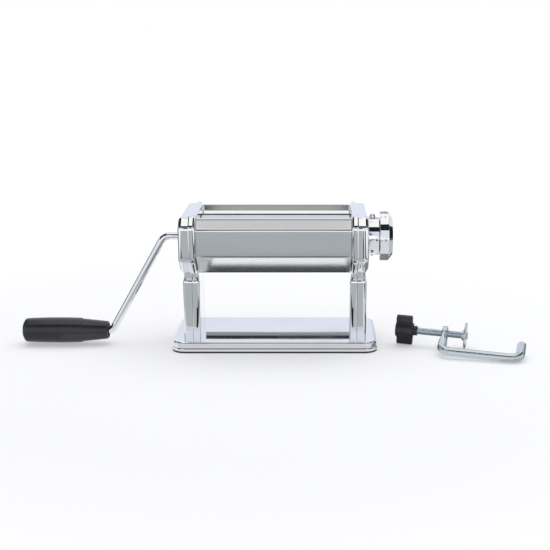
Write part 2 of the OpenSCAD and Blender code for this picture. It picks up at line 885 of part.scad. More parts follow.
module cam_follower_pin() {
    x1 = plate_out_x + block_side_gap;
    color("silver") on_side(1) translate([0, follower_y, roller_z]) {
        rod_x(x1, x1 + block_lip_t, follower_r / 2);
        rod_x(x1 + block_lip_t, cam_x + cam_w, follower_r);
    }
}

// Roller body with its two journals
module roller_body(end_left, end_right) {
    face = half - roller_end;
    rod_x(roller_edge - face, face - roller_edge, roller_r);
    for (s = [-1, 1]) on_side(s) cone_x(face - roller_edge, face, roller_r, roller_r - roller_edge);
    rod_x(-end_left, end_right, journal_r);
}

// Groove for a retaining ring near the left end of a journal
module clip_seat() {
    on_side(-1) difference() {
        rod_x(clip_x, clip_x + clip_t, journal_r + cut);
        rod_x(clip_x - cut, clip_x + clip_t + cut, journal_r - clip_groove);
    }
}

module front_roller() {
    color("silver") at_roller(front_y) difference() {
        roller_body(journal_end_x, plate_out_x + bush_flange_t);
        clip_seat();
        on_side(-1) rod_x(journal_end_x - socket_len, journal_end_x + cut, rod_r + crank_fit);
        block([-journal_end_x - cut, -journal_r - cut, -drive_pin_r - drive_slot_gap],
              [drive_pin_r + drive_slot_gap - drive_pin_x, journal_r + cut, drive_pin_r + drive_slot_gap]);
    }
}

module rear_roller() {
    color("silver") at_roller(rear_y) difference() {
        roller_body(journal_end_x, plate_out_x + block_side_gap + block_lip_t);
        clip_seat();
    }
}

// Involute of the base circle: polar angle at radius r
function involute_turn(r) = let (t = sqrt(max(0, pow(r / gear_base_r, 2) - 1))) t * 180 / PI - atan(t);
function half_tooth(r) = 90 / gear_teeth - backlash_angle + involute_turn(pitch_r) - involute_turn(r);
function flank_radius(i) = gear_base_r + (gear_tip_r - gear_base_r) * i / flank_steps;
function polar(r, a) = [r * cos(a), r * sin(a)];

// One tooth turned to angle a: root, rising flank, tip, falling flank, root
function tooth(a) = concat(
    [polar(gear_root_r, a - half_tooth(gear_base_r))],
    [for (i = [0 : flank_steps]) polar(flank_radius(i), a - half_tooth(flank_radius(i)))],
    [for (i = [flank_steps : -1 : 0]) polar(flank_radius(i), a + half_tooth(flank_radius(i)))],
    [polar(gear_root_r, a + half_tooth(gear_base_r))]);

module gear_outline() {
    polygon([for (k = [0 : gear_teeth - 1]) each tooth(360 * k / gear_teeth)]);
}

module gear(turn) {
    on_side(-1) {
        difference() {
            along_x(gear_x, gear_x + gear_w) rotate(turn) gear_outline();
            rod_x(gear_x - cut, gear_x + gear_w + cut, journal_r);
        }
    }
}

module front_gear() {
    color("darkgray") at_roller(front_y) {
        gear(0);
        on_side(-1) difference() {
            rod_x(plate_out_x + bush_flange_t + gear_side_gap, gear_x, gear_hub_r);
            rod_x(plate_out_x, gear_x + cut, journal_r);
        }
    }
}

module rear_gear() {
    color("darkgray") at_roller(rear_y) gear(180 / gear_teeth);
}

// Open retaining ring in its journal groove
module gear_clip() {
    on_side(-1) difference() {
        rod_x(clip_x, clip_x + clip_t, journal_r - clip_groove + clip_w);
        rod_x(clip_x - cut, clip_x + clip_t + cut, journal_r - clip_groove);
        block([clip_x - cut, -clip_mouth / 2, 0], [clip_x + clip_t + cut, clip_mouth / 2, 2 * journal_r]);
    }
}

module front_gear_clip() {
    color("dimgray") at_roller(front_y) gear_clip();
}

module rear_gear_clip() {
    color("dimgray") at_roller(rear_y) gear_clip();
}

module dial_collar() {
    x0 = outer_x;
    x1 = outer_x + collar_len;
    bore_r = dial_shaft_r + running;
    color("gainsboro") at_roller(front_y) difference() {
        union() {
            rod_x(x0, x1, collar_r);
            rod_x(x0 - hub_tail, x1, collar_hub_r);
        }
        difference() {
            rod_x(x0 - cut, x1 - collar_web, collar_r - collar_wall);
            rod_x(x0 - hub_tail, x1, collar_hub_r);
        }
        rod_x(x0 - hub_tail - cut, x1 + cut, bore_r);
        difference() {
            rod_x(x0 - cover_sheet - lock_ring_t, x0 - cover_sheet, collar_hub_r + cut);
            rod_x(x0 - hub_tail - cut, x1, collar_hub_r - lock_groove);
        }
        difference() {
            rod_x(x1 - index_groove, x1 + cut, index_ring_r + index_pin_r + index_clear + index_side);
            rod_x(x0, x1 + 2 * cut, index_ring_r - index_pin_r - index_clear - index_side);
        }
        for (k = [0 : dial_steps - 1])
            rotate([k * dial_turn / (dial_steps - 1), 0, 0]) translate([0, 0, index_ring_r])
                rod_x(x1 - index_groove - index_pocket, x1 + cut, index_pin_r + index_clear);
        translate([x0 + collar_screw_share * collar_len, 0, 0]) {
            cylinder(h = collar_r + cut, r = collar_screw_shank_r);
            translate([0, 0, collar_seat]) cylinder(h = collar_r, r = collar_screw_r + running);
            translate([0, 0, -collar_r - cut]) cylinder(h = collar_r + cut, r = grub_r);
        }
    }
}

module collar_lock_ring() {
    x1 = outer_x - cover_sheet;
    color("dimgray") at_roller(front_y) difference() {
        rod_x(x1 - lock_ring_t, x1, collar_hub_r - lock_groove + lock_ring_w);
        rod_x(x1 - lock_ring_t - cut, x1 + cut, collar_hub_r - lock_groove);
        block([x1 - lock_ring_t - cut, -clip_mouth / 2, 0], [x1 + cut, clip_mouth / 2, 2 * collar_hub_r]);
    }
}

// Domed screw on top of the collar and grub screw below, both on its hub
module collar_screws() {
    hub_top = collar_hub_r - lock_groove;
    color("gainsboro") at_roller(front_y) translate([outer_x + collar_screw_share * collar_len, 0, 0]) {
        rotate_extrude() {
            translate([0, collar_seat]) round_corner(collar_screw_r, collar_screw_dome, collar_screw_edge);
            translate([0, hub_top]) square([collar_screw_shank_r, collar_r - hub_top]);
        }
        translate([0, 0, -collar_r - grub_out]) cylinder(h = collar_r + grub_out - hub_top, r = grub_r);
    }
}

// Flat of the shaft in the dial: everything above it is cut away
module shaft_section(x0, x1, r, gap) {
    difference() {
        rod_x(x0, x1, r + gap);
        block([x0 - cut, -2 * r, shaft_flat_share * r + gap], [x1 + cut, 2 * r, 2 * r]);
    }
}

module dial_shaft() {
    x0 = cam_x;
    color("silver") at_roller(front_y) difference() {
        union() {
            rod_x(x0, dial_back, dial_shaft_r);
            shaft_section(dial_back, shaft_end, dial_shaft_r, 0);
            rod_x(cam_x + cam_w, outer_x - hub_tail - gear_side_gap, shaft_flange_r);
        }
        rod_x(shaft_end - shaft_screw_len - running, shaft_end + cut, shaft_screw_r + running);
    }
}

function cam_r(turn) = cam_low_r + gap_travel * turn / dial_turn;

// Snail cam: the radius towards the follower grows evenly as the dial turns
module dial_cam() {
    rise = [for (a = [0 : arc_step : dial_turn]) polar(cam_r(a), -a)];
    rest = [for (a = [dial_turn + arc_step : arc_step : 360 - arc_step]) polar(cam_low_r - cam_back_off, -a)];
    color("darkgray") at_roller(front_y) difference() {
        along_x(cam_x, cam_x + cam_w) polygon(concat(rise, rest));
        rod_x(cam_x - cut, cam_x + cam_w + cut, dial_shaft_r);
    }
}

module shaft_washer() {
    color("silver") at_roller(front_y) difference() {
        rod_x(shaft_end, shaft_end + washer_t, washer_r);
        rod_x(shaft_end - cut, shaft_end + washer_t + cut, shaft_screw_r + running);
    }
}

module shaft_screw() {
    color("silver") at_roller(front_y) {
        rod_x(shaft_end + washer_t, shaft_end + washer_t + shaft_screw_head_h, shaft_screw_head_r);
        rod_x(shaft_end - shaft_screw_len, shaft_end + washer_t + shaft_screw_head_h, shaft_screw_r);
    }
}

module dial_knob() {
    rim_x = dial_back + dial_rim;
    color("gainsboro") at_roller(front_y) difference() {
        union() {
            rod_x(dial_back, rim_x, dial_r);
            cone_x(rim_x, dial_end, dial_r, dial_face_r);
        }
        rod_x(dial_back + dial_web, dial_end - dial_front_t, dial_cavity_r);
        rod_x(dial_end - dial_front_t, dial_end + cut, dial_cap_r);
        shaft_section(dial_back - cut, dial_back + dial_web + cut, dial_shaft_r, running);
        translate([0, 0, index_ring_r]) rod_x(dial_back - cut, dial_back + dial_web + cut, index_pin_r);
        difference() {
            rod_x(dial_back + dial_web, rim_x, dial_r - dial_web);
            rod_x(dial_back, rim_x + cut, dial_cavity_r + dial_web);
        }
    }
}

module dial_cap() {
    x0 = dial_end - dial_front_t;
    color("gainsboro") at_roller(front_y) difference() {
        rod_x(x0, dial_end, dial_cap_r);
        rotate([0, 90, 0]) rotate_extrude() translate([dial_cap_r * cap_groove_share, dial_end])
            circle(cap_groove_r);
    }
}

module index_pin() {
    color("silver") at_roller(front_y) translate([0, 0, index_ring_r])
        rod_x(dial_back - index_pin_out, dial_back + dial_web, index_pin_r);
}

module dial_spring() {
    x0 = dial_back + dial_web;
    color("silver") at_roller(front_y)
        coil(x0, shaft_end - x0, dial_spring_r, dial_spring_wire_r, dial_spring_turns);
}

// Bend of a round rod in its own plane, a little thinner than the straights
// and reaching a little way into both
module bend(r, wire, a0, a1) {
    rotate([0, 0, a0 - bend_lap]) rotate_extrude(angle = a1 - a0 + 2 * bend_lap)
        translate([r, 0]) circle(wire - bend_thin);
}

// Crank seen from the front: x runs outwards, y up from the grip's axis
module crank_arm() {
    t_high = crank_bend_r * tan(crank_slope / 2);
    t_low = crank_low_r * tan(crank_slope / 2);
    along = [cos(crank_slope), -sin(crank_slope)];
    high = [crank_top_x, crank_r];
    low = [crank_low_x, 0];
    p1 = high + t_high * along;
    p2 = low - t_low * along;
    spindle_end = grip_start + grip_len - grip_plug_t - face_gap;
    color("gainsboro") translate([0, front_y, grip_z]) on_side(-1) rotate([90, 0, 0]) {
        difference() {
            translate([journal_end_x - socket_len + face_gap, crank_r, 0]) rotate([0, 90, 0])
                cylinder(h = crank_top_x - t_high - journal_end_x + socket_len - face_gap, r = rod_r);
            translate([drive_pin_x, crank_r, -rod_r - cut]) cylinder(h = 2 * (rod_r + cut), r = drive_pin_r);
        }
        translate([crank_top_x - t_high, crank_r - crank_bend_r, 0]) bend(crank_bend_r, rod_r, 90 - crank_slope, 90);
        translate([p1[0], p1[1], 0]) rotate([0, 0, -crank_slope]) rotate([0, 90, 0])
            cylinder(h = norm(p2 - p1), r = rod_r);
        translate([crank_low_x + t_low, crank_low_r, 0]) bend(crank_low_r, rod_r, 270 - crank_slope, 270);
        difference() {
            translate([crank_low_x + t_low, 0, 0]) rotate([0, 90, 0])
                cylinder(h = spindle_end - crank_low_x - t_low, r = rod_r);
            retainer_ring(cut);
        }
    }
}

// Ring round the spindle's end, in the crank's own plane
module retainer_ring(extra) {
    x0 = grip_start + grip_len - grip_pocket - grip_plug_t + face_gap;
    translate([x0, 0, 0]) difference() {
        rod_x(0, retainer_t, retainer_r + extra);
        rod_x(-cut, retainer_t + cut, rod_r - clip_groove);
    }
}

module crank_drive_pin() {
    color("silver") on_side(-1) at_roller(front_y)
        translate([drive_pin_x, -drive_pin_half, 0]) rotate([-90, 0, 0])
            cylinder(h = 2 * drive_pin_half, r = drive_pin_r);
}

module grip_retainer() {
    color("silver") translate([0, front_y, grip_z]) on_side(-1) retainer_ring(0);
}

// Half outline of the grip: x is the distance from its narrow end, y the radius
function barrel_r(x) = let (u = (x - grip_collar) / (grip_len - grip_collar))
    grip_r - grip_barrel_drop * pow(2 * (u - grip_peak_share), 2);
module grip_outline() {
    last = grip_len - grip_round;
    step = (last - grip_collar) / 8;
    barrel = [for (i = [0 : 8]) [grip_collar + i * step, barrel_r(grip_collar + i * step)]];
    end_r = barrel_r(last);
    round_end = [for (a = [15 : 15 : 75]) [last + grip_round * sin(a), end_r - grip_round * (1 - cos(a))]];
    polygon(concat([[0, 0], [0, grip_neck_r], [grip_collar - 2 * grip_shoulder, barrel[0][1] - grip_shoulder]],
                   barrel, round_end, [[grip_len, end_r - grip_round], [grip_len, 0]]));
}

module crank_grip() {
    color([0.07, 0.07, 0.075]) translate([0, front_y, grip_z]) on_side(-1) difference() {
        translate([grip_start, 0, 0]) rotate([0, 90, 0]) rotate_extrude()
            rotate(90) mirror([0, 1]) grip_outline();
        rod_x(grip_start - cut, grip_start + grip_len, rod_r + crank_fit);
        rod_x(grip_start + grip_len - grip_plug_t - grip_pocket, grip_start + grip_len, grip_pocket_r);
        rod_x(grip_start + grip_len - grip_plug_t, grip_start + grip_len + cut, grip_plug_r);
    }
}

module grip_plug() {
    x1 = grip_start + grip_len;
    color([0.07, 0.07, 0.075]) translate([0, front_y, grip_z]) on_side(-1)
        rod_x(x1 - grip_plug_t, x1, grip_plug_r);
}

// The clamp lies on the table as it was put down beside the machine
module clamp_place() {
    translate([clamp_x, clamp_y, clamp_z]) rotate([clamp_tilt, clamp_dip, clamp_turn_z]) children();
}

module screw_place() {
    clamp_place() translate([0, eye_arm, 0]) children();
}

module clamp_hook() {
    b = hook_bend_r;
    color("silver") clamp_place() difference() {
        union() {
            rotate([-90, 0, 0]) translate([0, 0, b]) cylinder(h = eye_arm - eye_r - b, r = hook_r);
            translate([b, b, 0]) bend(b, hook_r, 180, 270);
            rod_x(b, hook_run - b, hook_r);
            translate([hook_run - b, b, 0]) bend(b, hook_r, 270, 360);
            translate([hook_run, b, 0]) rotate([-90, 0, 0]) {
                cylinder(h = plug_arm - b - plug_chamfer, r = hook_r);
                translate([0, 0, plug_arm - b - plug_chamfer])
                    cylinder(h = plug_chamfer, r1 = hook_r, r2 = hook_r - plug_chamfer);
            }
            translate([0, eye_arm, 0]) rod_x(-eye_t / 2, eye_t / 2, eye_r);
            block([-eye_t / 2, eye_arm - eye_r - eye_waist, -hook_r], [eye_t / 2, eye_arm, hook_r]);
        }
        translate([0, eye_arm, 0]) rod_x(-eye_t, eye_t, screw_r + eye_fit);
    }
}

module clamp_screw() {
    tip = disc_forward + disc_t / 2;
    color("silver") screw_place() {
        rod_x(-knob_back - wing_len / 2 + (wing_len - knob_screw_depth),
              disc_forward - disc_boss_t - face_gap, screw_r);
        rod_x(0, tip + face_gap, screw_tip_r);
        rod_x(tip + face_gap, tip + face_gap + screw_tip_head_t, screw_tip_head_r);
    }
}

module clamp_knob() {
    x0 = -knob_back - wing_len / 2;
    x1 = -knob_back + wing_len / 2;
    color([0.08, 0.08, 0.085]) screw_place() difference() {
        union() {
            along_x(x0, x1) {
                square([wing_waist_t, 2 * wing_r - wing_t], center = true);
                for (z = [-1, 1]) translate([0, z * (wing_r - wing_t / 2)]) circle(wing_t / 2);
            }
            rod_x(x0 - wing_hub_out, x1 + wing_hub_out, wing_hub_r);
            rod_x(x1, x1 + wing_hub_out + knob_collar_len, knob_collar_r);
        }
        rod_x(x1 - knob_screw_depth, x1 + wing_hub_out + knob_collar_len + cut, screw_r);
    }
}

module pressure_disc() {
    x0 = disc_forward - disc_t / 2;
    color("silver") screw_place() difference() {
        union() {
            rod_x(x0, x0 + disc_t, disc_r);
            rod_x(x0 - disc_boss_t + disc_t / 2, x0, disc_boss_r);
        }
        rod_x(x0 - 2 * disc_boss_t, x0 + disc_t + cut, screw_tip_r + disc_fit);
    }
}

base_tray();
base_pad();
clamp_socket();
base_screws();
inner_cover(-1);  // left_inner_cover
inner_cover(1);  // right_inner_cover
outer_cover(-1);  // left_outer_cover
outer_cover(1);  // right_outer_cover
side_plate(-1);  // left_side_plate
side_plate(1);  // right_side_plate
front_panel();
rear_panel();
tie_rods();
tie_nuts();
cover_posts();
cover_screws();
scraper(-1);  // front_scraper
scraper(1);  // rear_scraper
front_roller_bushes();
crank_bush();
block_springs();
bearing_block(-1);  // left_bearing_block
bearing_block(1);  // right_bearing_block
cam_follower_pin();
front_roller();
front_gear();
front_gear_clip();
rear_roller();
rear_gear();
rear_gear_clip();
dial_collar();
collar_lock_ring();
collar_screws();
dial_shaft();
dial_cam();
shaft_washer();
shaft_screw();
dial_knob();
dial_cap();
index_pin();
dial_spring();
crank_arm();
crank_drive_pin();
grip_retainer();
crank_grip();
grip_plug();
clamp_hook();
clamp_screw();
clamp_knob();
pressure_disc();
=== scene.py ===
"""Looks of a hand cranked pasta machine and its loose table clamp.

Every length in the making of the pieces is in millimetres, in the frame of
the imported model: +Z up, +X towards the dial, the crank at -X. The stage, its
lights and the camera are in metres.
"""
import json
from collections import Counter
from math import ceil, cos, degrees, hypot, pi, radians, sin, sqrt, tan

import bmesh
import bpy
from mathutils import Matrix, Vector
from mathutils.geometry import delaunay_2d_cdt


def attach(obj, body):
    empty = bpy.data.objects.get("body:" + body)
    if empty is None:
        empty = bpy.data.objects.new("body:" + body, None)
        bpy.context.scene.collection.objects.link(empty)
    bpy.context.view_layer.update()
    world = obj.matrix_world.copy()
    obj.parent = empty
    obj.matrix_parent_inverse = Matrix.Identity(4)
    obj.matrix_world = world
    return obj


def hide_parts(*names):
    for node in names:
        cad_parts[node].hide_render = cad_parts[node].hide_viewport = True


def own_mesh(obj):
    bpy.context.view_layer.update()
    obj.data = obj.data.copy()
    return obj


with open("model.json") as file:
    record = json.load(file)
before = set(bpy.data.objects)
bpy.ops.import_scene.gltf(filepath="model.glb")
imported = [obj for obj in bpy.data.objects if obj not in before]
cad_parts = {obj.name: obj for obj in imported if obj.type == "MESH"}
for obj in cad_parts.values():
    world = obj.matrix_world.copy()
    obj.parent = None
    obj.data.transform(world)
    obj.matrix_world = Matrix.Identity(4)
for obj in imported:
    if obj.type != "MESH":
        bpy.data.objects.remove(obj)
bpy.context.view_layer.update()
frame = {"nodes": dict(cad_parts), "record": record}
SLOTS = {row["slot"] for row in frame["record"]["materials"]}
MM = 0.001
scene = bpy.context.scene

# Main sizes, the same as the part's
HALF = 76.5  # half the clear width between the housings
SEAM_X = 83.2  # where the inner and the outer covers meet
OUTER_X = 93.5  # flat face of the outer covers at the heads
LEG_X = 92.5  # and at the legs
BASE_W, BASE_D, BASE_H, BASE_CORNER = 207.5, 96.0, 10.8, 14.0
HEAD_SIDE, HEAD_TOP, HEAD_LOW, LEG_TOP = 51.2, 138.8, 77.5, 72.0
ROLLER_Z, CRANK_Y, REAR_Y = 113.3, -15.5, 15.5  # axes of the rollers; the front one turns with the crank
GAP_TRAVEL, PULL_TRAVEL = 2.2, 3.2  # how far the rear roller and the dial slide
ROD_R, GRIP_Z = 3.7, 14.8
POST_Z = 34.06  # height of the leg's cover screw
HEAD_POST = (33.0, 92.0)  # place in Y and Z of a head's cover screws
COLLAR_R, COLLAR_FRONT = 18.8, 104.3
DIAL_BACK, DIAL_R, DIAL_DEEP, DIAL_WEB = 104.6, 24.6, 13.0, 2.5
SHAFT_END = 113.53
COVER_WALL, PANEL_WALL = 0.9, 0.8
INK_RISE = 0.035  # how far filled engraving stands out, to be seen at all


# -------- finishes
class Wire:
    """A value in a node tree; sums on it add their Math nodes."""

    def __init__(self, tree, socket=None):
        self.tree, self.socket = tree, socket

    def node(self, kind, sockets=None, out=0, **settings):
        made = self.tree.nodes.new(kind)
        for key, value in settings.items():
            setattr(made, key, value)
        for key, value in (sockets or {}).items():
            if isinstance(value, Wire):
                self.tree.links.new(value.socket, made.inputs[key])
            else:
                made.inputs[key].default_value = value
        return Wire(self.tree, made.outputs[out])

    def sum(self, operation, first, second):
        return self.node("ShaderNodeMath", {0: first, 1: second}, operation=operation)

    def __add__(self, other):
        return self.sum("ADD", self, other)

    __radd__ = __add__

    def __mul__(self, other):
        return self.sum("MULTIPLY", self, other)

    __rmul__ = __mul__

    def noise(self, cells, detail=3.0, rough=0.55):
        """Noise from 0 to 1 over this place. cells is how many it has to the
        metre, as one number or one for each axis."""
        stretch = cells if isinstance(cells, tuple) else (cells,) * 3
        spread = self.node("ShaderNodeMapping", {"Vector": self, "Scale": stretch})
        return self.node("ShaderNodeTexNoise", {"Vector": spread, "Scale": 1.0, "Detail": detail, "Roughness": rough})

    def band(self, low, high):
        """This value spread from 0 at low to 1 at high, and held there."""
        return self.node("ShaderNodeMapRange", {"Value": self, "From Min": low, "From Max": high},
                         interpolation_type="SMOOTHSTEP")

    def blend(self, colour_a, colour_b):
        """Colour a where this value is 0 and colour b where it is 1."""
        def full(c):
            return c if isinstance(c, Wire) else (*c, 1)
        return self.node("ShaderNodeMix", {"Factor": self, 6: full(colour_a), 7: full(colour_b)}, 2, data_type="RGBA")


def drawn(owner, end, draw):
    """A material or world that shows what draw makes in its empty node tree."""
    owner.use_nodes = True
    tree = owner.node_tree
    tree.nodes.clear()
    skin = draw(Wire(tree))
    tree.links.new(skin.socket, tree.nodes.new(end).inputs["Surface"])
    return owner


def surface(name, draw):
    return drawn(bpy.data.materials.new(name), "ShaderNodeOutputMaterial", draw)


def finish(name, pattern, metallic=0.0, coat=0.0, coat_rough=0.03):
    """A named finish. pattern gives its colour, roughness, bump height and depth."""
    def draw(start):
        where = start.node("ShaderNodeTexCoord", out="Object")
        colour, rough, height, depth = pattern(where)
        bump = start.node("ShaderNodeBump", {"Height": height, "Strength": 1.0, "Distance": depth})
        return start.node("ShaderNodeBsdfPrincipled", {
            "Base Color": colour, "Roughness": rough, "Metallic": metallic, "Normal": bump, "Coat Weight": coat,
            "Coat Roughness": coat_rough})
    return surface(name, draw)


def chrome(base, dull, wave, wave_depth):
    """Bright plating: finger haze, hairline wipe marks and a slow wave in the sheet."""
    def pattern(where):
        haze = where.noise(26, 4.0).band(0.42, 0.78)
        wipe = where.noise((90, 1500, 1500), 2.0).band(0.55, 0.8)
        swell = where.noise(wave, 1.0)
        colour = haze.blend(base, tuple(0.955 * c for c in base))
        rough = dull + 0.8 * dull * haze + 0.5 * dull * wipe
        return colour, rough, swell + 0.0006 * wipe, wave_depth
    return pattern


def rolled_steel(where):
    """Satin sheet with its rolling grain along X."""
    grain = where.noise((18, 2600, 2600), 4.0, 0.6)
    broad = where.noise((9, 60, 60))
    mark = where.noise((30, 45, 45), 4.0).band(0.58, 0.8)
    colour = broad.band(0.3, 0.75).blend((0.86, 0.862, 0.865), (0.82, 0.823, 0.828))
    rough = 0.06 + 0.06 * grain + 0.05 * mark
    return colour, rough, grain, 0.0000015


def ground_steel(where):
    """Roller face, ground round its axis."""
    rings = where.noise((2400, 20, 20), 3.0, 0.6)
    tone = where.noise(60)
    colour = tone.band(0.35, 0.7).blend((0.76, 0.77, 0.78), (0.70, 0.71, 0.73))
    return colour, 0.14 + 0.12 * rings, rings, 0.00001


def zinc(base, warm, dull):
    """Zinc plate: a blue tone that drifts to straw, and small grains."""
    def pattern(where):
        drift = where.noise(70).band(0.45, 0.72)
        grains = where.noise(900, 3.0, 0.6)
        rub = where.noise(210, 4.0).band(0.5, 0.75)
        colour = drift.blend(base, warm)
        return colour, dull + 0.10 * grains + 0.06 * rub, grains, 0.00002
    return pattern


def machined(base, dull):
    """Turned or stamped steel left as it came."""
    def pattern(where):
        lines = where.noise((1500, 300, 300))
        stain = where.noise(130, 4.0).band(0.45, 0.75)
        colour = stain.blend(base, tuple(0.78 * c for c in base))
        return colour, dull + 0.14 * lines, lines, 0.00002
    return pattern


def moulded(base, dull, pits):
    """Moulded plastic with a very fine skin and a slight clouding of its gloss."""
    def pattern(where):
        skin = where.noise(pits, 2.0)
        cloud = where.noise(45).band(0.4, 0.75)
        colour = cloud.blend(base, tuple(c * 1.25 + 0.002 for c in base))
        return colour, dull + 0.06 * cloud + 0.03 * skin, skin, 0.000015
    return pattern


def rubber(where):
    """Matt rubber with dust in its pores."""
    pores = where.noise(1300)
    dust = where.noise(60, 4.0).band(0.5, 0.8)
    colour = dust.blend((0.022, 0.022, 0.024), (0.05, 0.05, 0.052))
    return colour, 0.72 + 0.12 * pores, pores, 0.00006


def ink(where):
    """Filled engraving, a little worn."""
    worn = where.noise(800).band(0.62, 0.8)
    return worn.blend((0.012, 0.012, 0.014), (0.09, 0.09, 0.095)), 0.45 + 0.2 * worn, worn, 0.00001


STEEL, BRIGHT = (0.88, 0.885, 0.895), (0.90, 0.903, 0.91)
FINISH = {name: finish(name, pattern, metallic, *coat) for name, pattern, metallic, *coat in (
    ("polished_steel", chrome(STEEL, 0.012, 14, 0.00001), 1.0),
    ("chromed_sheet", chrome(BRIGHT, 0.024, 17, 0.00005), 1.0),
    ("chromed_metal", chrome(BRIGHT, 0.04, 30, 0.00001), 1.0),
    ("brushed_sheet", rolled_steel, 1.0),
    ("roller_steel", ground_steel, 1.0),
    ("zinc_steel", zinc((0.66, 0.69, 0.72), (0.70, 0.69, 0.64), 0.24), 1.0),
    ("zinc_plate", zinc((0.66, 0.73, 0.77), (0.72, 0.73, 0.71), 0.2), 1.0),
    ("gear_steel", machined((0.5, 0.5, 0.51), 0.26), 1.0),
    ("spring_steel", machined((0.42, 0.42, 0.44), 0.3), 1.0),
    ("nylon", moulded((0.78, 0.75, 0.66), 0.42, 1500), 0.0),
    ("rubber_pad", rubber, 0.0),
    ("black_grip", moulded((0.018, 0.018, 0.02), 0.24, 1100), 0.0, 0.15, 0.12),
    ("black_plastic", moulded((0.02, 0.02, 0.023), 0.34, 1100), 0.0),
    ("engraving_ink", ink, 0.0),
)}


# -------- mesh making
def angles(start, end, every):
    """Angles in radians from start to end, both counted, given in degrees."""
    return [radians(a) for a in range(start, end + (1 if every > 0 else -1), every)]


def around(count):
    """Angles of count even steps round a full turn."""
    return [2 * pi * k / count for k in range(count)]


def rounded(points, radii, closed=False, step=9.0):
    """A line through 2-D points, its corners rounded to the radii given."""
    line, count = [], len(points)
    for i, (point, r) in enumerate(zip(points, radii)):
        p = Vector(point)
        if r <= 0 or (not closed and i in (0, count - 1)):
            line.append(p)
            continue
        back = (Vector(points[i - 1]) - p).normalized()
        on = (Vector(points[(i + 1) % count]) - p).normalized()
        turn = pi - back.angle(on)
        side = 1 if -back.x * on.y + back.y * on.x > 0 else -1
        centre = p + (back + on).normalized() * (r / cos(turn / 2))
        arm = p + back * (r * tan(turn / 2)) - centre
        parts = max(2, ceil(degrees(turn) / step))
        for k in range(parts + 1):
            a = side * turn * k / parts
            line.append(centre + Vector((arm.x * cos(a) - arm.y * sin(a), arm.x * sin(a) + arm.y * cos(a))))
    return line


def inward(line, closed):
    """For each point of a line, the way to its left, longer at corners."""
    count, out = len(line), []
    for i in range(count):
        ways = []
        if closed or i > 0:
            ways.append(line[i] - line[i - 1])
        if closed or i < count - 1:
            ways.append(line[(i + 1) % count] - line[i])
        sides = [Vector((-w.y, w.x)).normalized() for w in ways]
        total = sum(sides, Vector((0, 0)))
        share = max(0.6, 1 + sides[0].dot(sides[-1])) if len(sides) > 1 else 1
        out.append(total / share)
    return out


def placed(name, data):
    """A new object in the scene."""
    thing = bpy.data.objects.new(name, data)
    scene.collection.objects.link(thing)
    return thing


def piece(name, points, faces, slot, body, stands_for=(), out=None, place=None, **look):
    """A finished piece from points in millimetres. out is a way in which its
    outermost face looks; without it the mesh is closed and turned outwards.
    look is what dress takes."""
    shape = bmesh.new()
    corners = [shape.verts.new(place @ Vector(p) if place else Vector(p)) for p in points]
    for face in faces:
        try:
            shape.faces.new([corners[i] for i in face])
        except ValueError:  # a face that is there already, or uses a corner twice
            pass
    bmesh.ops.remove_doubles(shape, verts=shape.verts, dist=0.0005)
    bmesh.ops.dissolve_degenerate(shape, edges=shape.edges, dist=0.0004)
    bmesh.ops.recalc_face_normals(shape, faces=shape.faces)
    if out is not None:
        way = Vector(out)
        shape.normal_update()
        best = max(shape.faces, key=lambda f: round(f.calc_center_median().dot(way), 3) + 1e-5 * f.calc_area()
                   if abs(f.normal.dot(way)) > 0.7 else -1e9)
        if best.normal.dot(way) < 0:
            bmesh.ops.reverse_faces(shape, faces=shape.faces)
    for corner in shape.verts:
        corner.co *= MM
    mesh = bpy.data.meshes.new(name)
    shape.to_mesh(mesh)
    shape.free()
    return dress(mesh, name, slot, body, stands_for, **look)


def dress(mesh, name, slot, body, stands_for=(), sharp=32.0, wall=0.0, wall_side=-1.0):
    """Puts a mesh in the scene with its finish and shading, riding on its body.
    sharp is the angle of its sharp edges, wall a sheet's thickness, which grows
    inwards from the surface, or both ways with wall_side 0."""
    mesh.polygons.foreach_set("use_smooth", [True] * len(mesh.polygons))
    mesh.set_sharp_from_angle(angle=radians(sharp))
    sides = Counter(key for face in mesh.polygons for key in face.edge_keys)
    for edge in mesh.edges:
        if sides[edge.key] == 1:
            edge.use_edge_sharp = True
    if not mesh.materials:
        mesh.materials.append(FINISH[slot])
    thing = placed(name, mesh)
    if wall:
        sheet = thing.modifiers.new("wall", "SOLIDIFY")
        sheet.thickness, sheet.offset, sheet.use_even_offset = wall * MM, wall_side, True
    thing.modifiers.new("even", "WEIGHTED_NORMAL").keep_sharp = True
    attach(thing, body)
    if stands_for:
        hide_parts(*stands_for)
    slot in SLOTS
    return thing


def walls(rows, closed=True):
    """Faces between rows of equally many points, running round or side by side."""
    count = len(rows[0])
    return [(one[k], one[(k + 1) % count], two[(k + 1) % count], two[k])
            for one, two in zip(rows, rows[1:]) for k in range(count if closed else count - 1)]


def stacked(rings):
    """The points of rings of equally many points, and the rows of their numbers."""
    count = len(rings[0])
    return [p for ring in rings for p in ring], [range(i * count, (i + 1) * count) for i in range(len(rings))]


def tube(rings):
    """Points and faces of a tube through closed rings, both ends closed."""
    points, rows = stacked(rings)
    return points, walls(rows) + [tuple(rows[0]), tuple(reversed(rows[-1]))]


def moved(place, points):
    """Points carried by a matrix."""
    return [tuple(place @ Vector(p)) for p in points]


